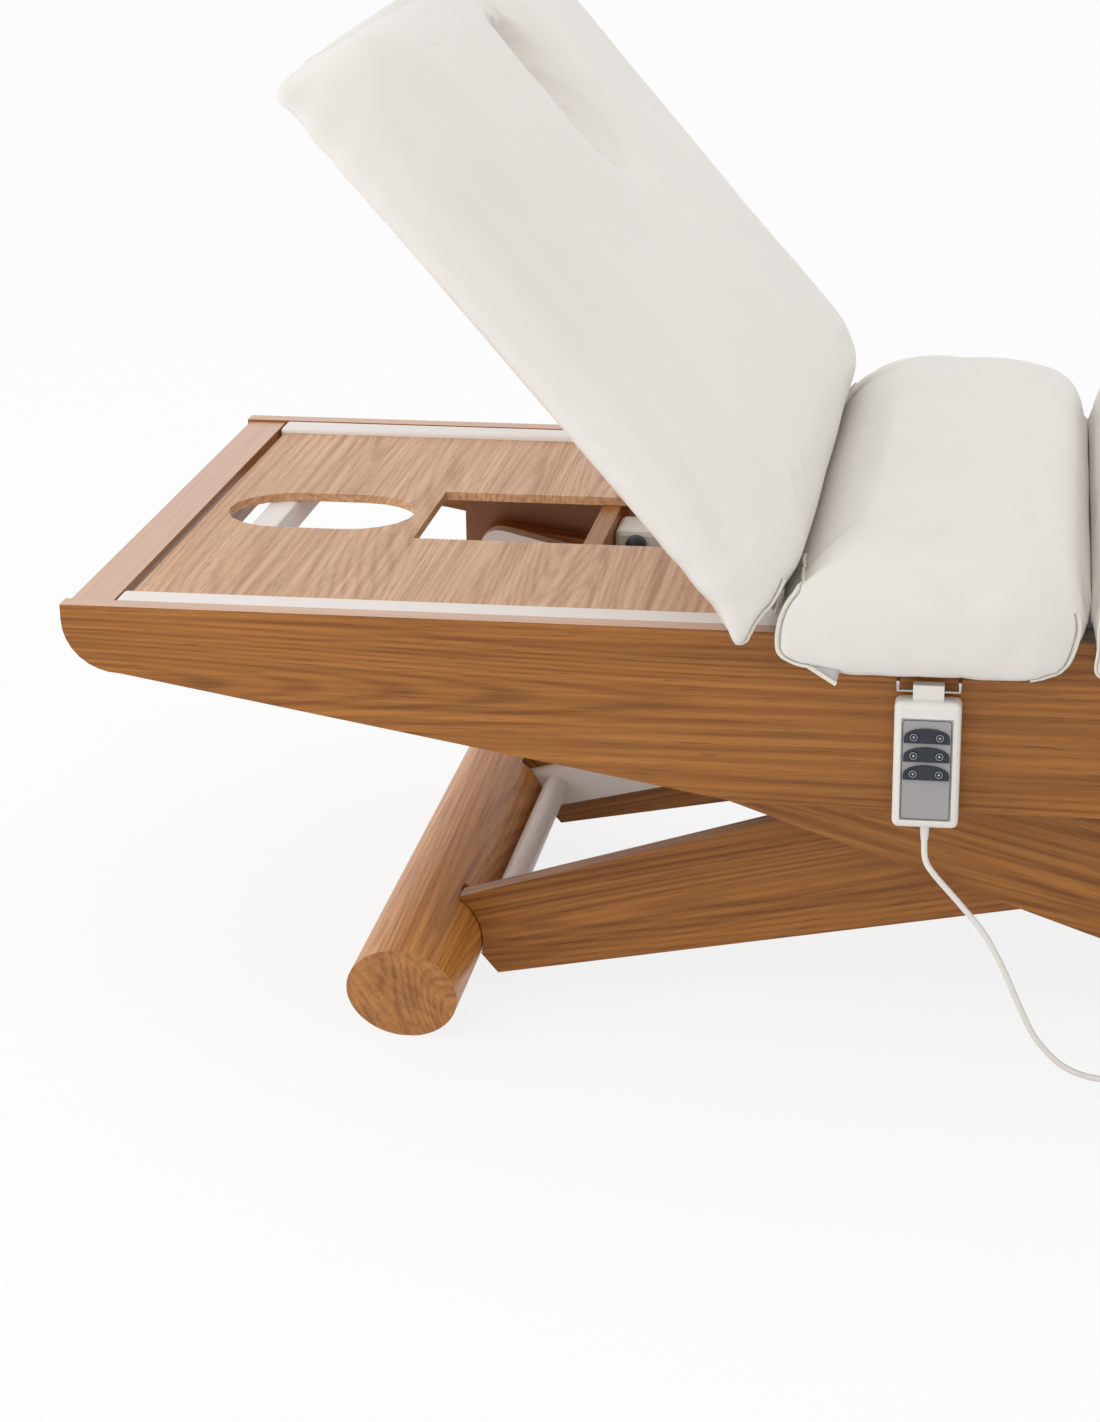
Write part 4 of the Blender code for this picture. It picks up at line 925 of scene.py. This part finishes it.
class SPABED_OT_stage(bpy.types.Operator):
    """Camera, floor, world and soft studio lamps"""

    bl_idname = "spa_bed.stage"
    bl_label = "Stage"

    def execute(self, context):
        settings = stage()
        scene = context.scene
        scene.view_settings.view_transform = "Standard"
        data = bpy.data.cameras.new("camera")
        data.lens = settings.lens
        data.sensor_width = 36.0
        data.shift_x, data.shift_y = settings.shift
        data.dof.use_dof = False
        camera = new_object("camera", data)
        camera.location = settings.camera_place
        camera.rotation_euler = (math.pi / 2 - settings.camera_tilt, 0.0, settings.camera_turn)
        scene.camera = camera
        self.make_world(scene, settings.sky)
        self.make_floor()
        self.make_lamp("key_lamp", (-1.4, -1.5, 3.3), BED_MIDDLE, size=2.6, power=settings.key_light)
        self.make_lamp("fill_lamp", (2.6, -1.6, 2.2), BED_MIDDLE, size=2.6, power=settings.fill_light)
        self.make_lamp("low_lamp", (-3.0, -1.2, 0.8), BED_BASE, size=1.6, power=settings.low_light)
        return {"FINISHED"}

    def make_world(self, scene, strength):
        """A world whose light has its own strength, and which is plain white where it is seen."""
        world = bpy.data.worlds.new("studio")
        world.use_nodes = True
        tree = world.node_tree
        light = tree.nodes["Background"]
        light.inputs["Color"].default_value = WHITE
        light.inputs["Strength"].default_value = strength
        white = add_node(tree, "ShaderNodeBackground", Color=WHITE, Strength=1.0)
        mix_shaders(tree, seen_directly(tree), light, white, "World Output")
        scene.world = world

    def make_floor(self):
        """A pale floor that glows where it is seen, so that only soft shadows show on it."""
        bm = bmesh.new()
        bmesh.ops.create_grid(bm, x_segments=1, y_segments=1, size=FLOOR_SIZE)
        mesh = bpy.data.meshes.new("floor")
        bm.to_mesh(mesh)
        bm.free()
        material, tree, shader = new_material("studio_floor")
        shader.inputs["Base Color"].default_value = FLOOR_GREY
        shader.inputs["Roughness"].default_value = 0.9
        glow = add_node(tree, "ShaderNodeEmission", Strength=1.0)
        share = math_node(tree, "MULTIPLY", seen_directly(tree), FLOOR_GLOW)
        mix_shaders(tree, share, shader, glow, "Material Output")
        mesh.materials.append(material)
        floor = new_object("floor", mesh)

    def make_lamp(self, name, place, target, size, power):
        data = bpy.data.lights.new(name, "AREA")
        data.size = size
        data.energy = power
        lamp = new_object(name, data)
        lamp.location = place
        lamp.rotation_euler = (Vector(target) - Vector(place)).to_track_quat("-Z", "Y").to_euler()


class SPABED_OT_cord(bpy.types.Operator):
    """The handset's cord, on the route of its solid"""

    bl_idname = "spa_bed.cord"
    bl_label = "Cord"

    def execute(self, context):
        path = smooth_path(CORD_POINTS, steps=6)
        material = grain_material(
            "cord_sheath", finishes().shell, shade=0.96, grain=900.0, roughness=0.42, bump=0.08
        )
        cord = tube_curve("cord_sheath", [path], shapes().cord, material)
        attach(cord, "frame")
        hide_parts("handset_cord")
        return {"FINISHED"}


class SPABED_OT_woodwork(bpy.types.Operator):
    """Oak veneer on the rails, planks, logs and deck"""

    bl_idname = "spa_bed.woodwork"
    bl_label = "Woodwork"

    def execute(self, context):
        colours = finishes()
        light = tuple(colours.oak_light)
        dark = tuple(colours.oak_dark)
        for side, drift in (("near", 0.0), ("far", 3.7)):
            # top=True paints a paler sheen on the rails' upward faces.
            rail = oak_material(f"oak_rail_{side}", light, dark, shift=(drift, 0.4, drift), top=True)
            give([f"side_rail_{side}"], rail)
            for letter, tilt, aside, along in (("a", PLANK_TILT, 1.3, 0.7), ("b", -PLANK_TILT, 2.1, 1.9)):
                plank = f"plank_{letter}_{side}"
                turn = (0.0, tilt, 0.0)
                shift = (drift, aside, along)
                give([plank], oak_material(f"oak_{plank}", light, dark, turn=turn, shift=shift))
        # The end rails' tops get the same painted sheen.
        end_rail = oak_material("oak_end_rail", light, dark, turn=ACROSS, top=True)
        give(["end_rail_head", "end_rail_foot"], end_rail)
        board = oak_material("oak_cross_board", light, dark, turn=ACROSS, shift=(0.3, 0.9, 0.2))
        give(["cross_board"], board)
        log = oak_material(
            "oak_log",
            tuple(colours.log_light),
            tuple(colours.log_dark),
            turn=ACROSS,
            shift=(0.6, 0.2, 0.3),
            end_axis=1,
        )
        give(["foot_log_head", "foot_log_foot"], log)
        deck = oak_material(
            "oak_deck", tuple(colours.deck_light), tuple(colours.deck_dark), turn=ACROSS, arch=1.2
        )
        give(["deck_panel"], deck)
        return {"FINISHED"}


class SPABED_OT_metalwork(bpy.types.Operator):
    """Powder coat and bare steel"""

    bl_idname = "spa_bed.metalwork"
    bl_label = "Metalwork"

    def execute(self, context):
        colours = finishes()
        coated = grain_material(
            "powder_coat",
            colours.coated_steel,
            shade=0.97,
            grain=1500.0,
            roughness=0.36,
            bump=0.10,
            distance=FINE_BUMP,
        )
        bare = grain_material(
            "bare_steel",
            colours.bare_steel,
            shade=0.9,
            grain=2200.0,
            roughness=0.24,
            bump=0.05,
            distance=FINE_BUMP,
            metallic=1.0,
        )
        slots = {"white_steel": coated, "bright_steel": bare}
        for entry in frame["record"]["subparts"]:
            if entry["material_slot"] in slots:
                give([entry["node"]], slots[entry["material_slot"]])
        brown = grain_material(
            "brown_coat",
            colours.brown_coat,
            shade=0.9,
            grain=1500.0,
            roughness=0.40,
            bump=0.10,
            distance=FINE_BUMP,
        )
        give(["slide_bracket_near", "slide_bracket_far"], brown)
        return {"FINISHED"}


class SPABED_OT_plastics(bpy.types.Operator):
    """Moulded plastic on the handset, its keys and the motors"""

    bl_idname = "spa_bed.plastics"
    bl_label = "Plastics"

    def execute(self, context):
        colours = finishes()
        shell = grain_material(
            "shell_plastic",
            colours.shell,
            shade=0.97,
            grain=1600.0,
            roughness=0.34,
            bump=0.08,
            distance=FINE_BUMP,
        )
        panel = grain_material(
            "panel_film",
            colours.panel,
            shade=0.95,
            grain=2600.0,
            roughness=0.42,
            bump=0.05,
            distance=FINE_BUMP,
        )
        pads = grain_material(
            "pad_rubber",
            colours.pads,
            shade=0.85,
            grain=2600.0,
            roughness=0.40,
            bump=0.06,
            distance=FINE_BUMP,
        )
        give(["handset_shell", "back_motor", "leg_motor", "lift_motor", "cord_boot"], shell)
        give(["handset_panel"], panel)
        give(["key_pad_1", "key_pad_2", "key_pad_3"], pads)
        for number in (1, 2, 3):
            for side in ("down", "up"):
                self.mark_key(f"key_{side}_{number}", side, pads)
        self.make_knob(pads)
        self.outline_panel(pads)
        return {"FINISHED"}

    def outline_panel(self, dark):
        """A thin dark line round the handset's panel."""
        low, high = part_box("handset_panel")
        edge = LINE_INSET + LINE_CORNER
        path = []
        for index in range(4):
            right = index in (0, 3)
            upper = index in (0, 1)
            x = high[0] - edge if right else low[0] + edge
            z = high[2] - edge if upper else low[2] + edge
            for step in range(7):
                angle = math.radians(90 * index + 15 * step)
                arc = Vector((math.cos(angle), 0.0, math.sin(angle))) * LINE_CORNER
                path.append(Vector((x, low[1], z)) + arc)
        path.append(path[0])
        line = tube_curve("panel_line", [path], LINE_RADIUS, dark)
        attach(line, "frame")

    def make_knob(self, dark):
        """A domed knob on the near side of the leg motor, turned from its outline."""
        low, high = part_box("leg_motor")
        radius = shapes().knob
        knob = bmesh.new()
        verts = [knob.verts.new((share * radius, -reach, 0.0)) for share, reach in KNOB_OUTLINE]
        for first, second in zip(verts, verts[1:]):
            knob.edges.new((first, second))
        turn_about_y(knob, MERGE)
        centre = (low[0] + 2.2 * radius, low[1], high[2] - 1.3 * radius)
        bmesh.ops.translate(knob, verts=knob.verts, vec=centre)
        place_piece("release_knob", knob, dark, "frame")

    def mark_key(self, key, side, pads):
        """A pale ring and a small arrow on a key's face."""
        give([key], pads)
        low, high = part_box(key)
        centre = Vector(((low[0] + high[0]) / 2, low[1], (low[2] + high[2]) / 2))
        pale = grain_material(
            "key_mark",
            finishes().marks,
            shade=0.95,
            grain=2600.0,
            roughness=0.45,
            bump=0.04,
            distance=FINE_BUMP,
        )
        ring = bmesh.new()
        bmesh.ops.create_circle(ring, cap_ends=False, segments=8, radius=RING_RADIUS)
        bmesh.ops.translate(ring, verts=ring.verts, vec=(shapes().key_ring, 0, 0))
        turn_about_y(ring, FINE_MERGE)
        bmesh.ops.translate(ring, verts=ring.verts, vec=centre)
        place_piece(key + "_ring", ring, pale, key)
        arrow = bmesh.new()
        bmesh.ops.create_cone(
            arrow, cap_ends=True, segments=3, radius1=ARROW_BASE, radius2=ARROW_TOP, depth=ARROW_DEPTH
        )
        points = math.pi if side == "down" else 0.0
        turn = Matrix.Rotation(math.pi / 2, 4, "X") @ Matrix.Rotation(points, 4, "Z")
        bmesh.ops.transform(arrow, matrix=Matrix.Translation(centre) @ turn, verts=arrow.verts)
        place_piece(key + "_arrow", arrow, pale, key, smooth=False)


class SPABED_OT_cushions(bpy.types.Operator):
    """Filled covers, their welts and the lining under them"""

    bl_idname = "spa_bed.cushions"
    bl_label = "Cushions"

    def execute(self, context):
        lining = grain_material(
            "lining_fabric", finishes().lining, shade=0.94, grain=1100.0, roughness=0.62, bump=0.25
        )
        give(["seat_board", "back_board", "leg_board"], lining)
        for section in SECTION_BODIES:
            cover = make_cover(section)
            make_welt(section, cover)
            if section == "leg":
                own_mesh(cover)
        return {"FINISHED"}


OPERATORS = (
    SPABED_OT_stage,
    SPABED_OT_cord,
    SPABED_OT_woodwork,
    SPABED_OT_metalwork,
    SPABED_OT_plastics,
    SPABED_OT_cushions,
)


class SPABED_PT_sidebar(bpy.types.Panel):
    """Lists the bed's pieces"""

    bl_idname = "SPABED_PT_sidebar"
    bl_label = "Electric spa bed"
    bl_space_type = "VIEW_3D"
    bl_region_type = "UI"
    bl_category = "Spa bed"

    def draw(self, context):
        for operator in OPERATORS:
            self.layout.operator(operator.bl_idname)


CLASSES = (SpaBedFinishes, SpaBedShapes, SpaBedStage, *OPERATORS, SPABED_PT_sidebar)


def register():
    for item in CLASSES:
        bpy.utils.register_class(item)
    bpy.types.Scene.spa_bed_finishes = PointerProperty(type=SpaBedFinishes)
    bpy.types.Scene.spa_bed_shapes = PointerProperty(type=SpaBedShapes)
    bpy.types.Scene.spa_bed_stage = PointerProperty(type=SpaBedStage)


def unregister():
    del bpy.types.Scene.spa_bed_stage
    del bpy.types.Scene.spa_bed_shapes
    del bpy.types.Scene.spa_bed_finishes
    for item in reversed(CLASSES):
        bpy.utils.unregister_class(item)


def main():
    register()
    bpy.ops.spa_bed.stage()
    bpy.ops.spa_bed.cord()
    bpy.ops.spa_bed.woodwork()
    bpy.ops.spa_bed.metalwork()
    bpy.ops.spa_bed.plastics()
    bpy.ops.spa_bed.cushions()


if __name__ == "__main__":
    main()
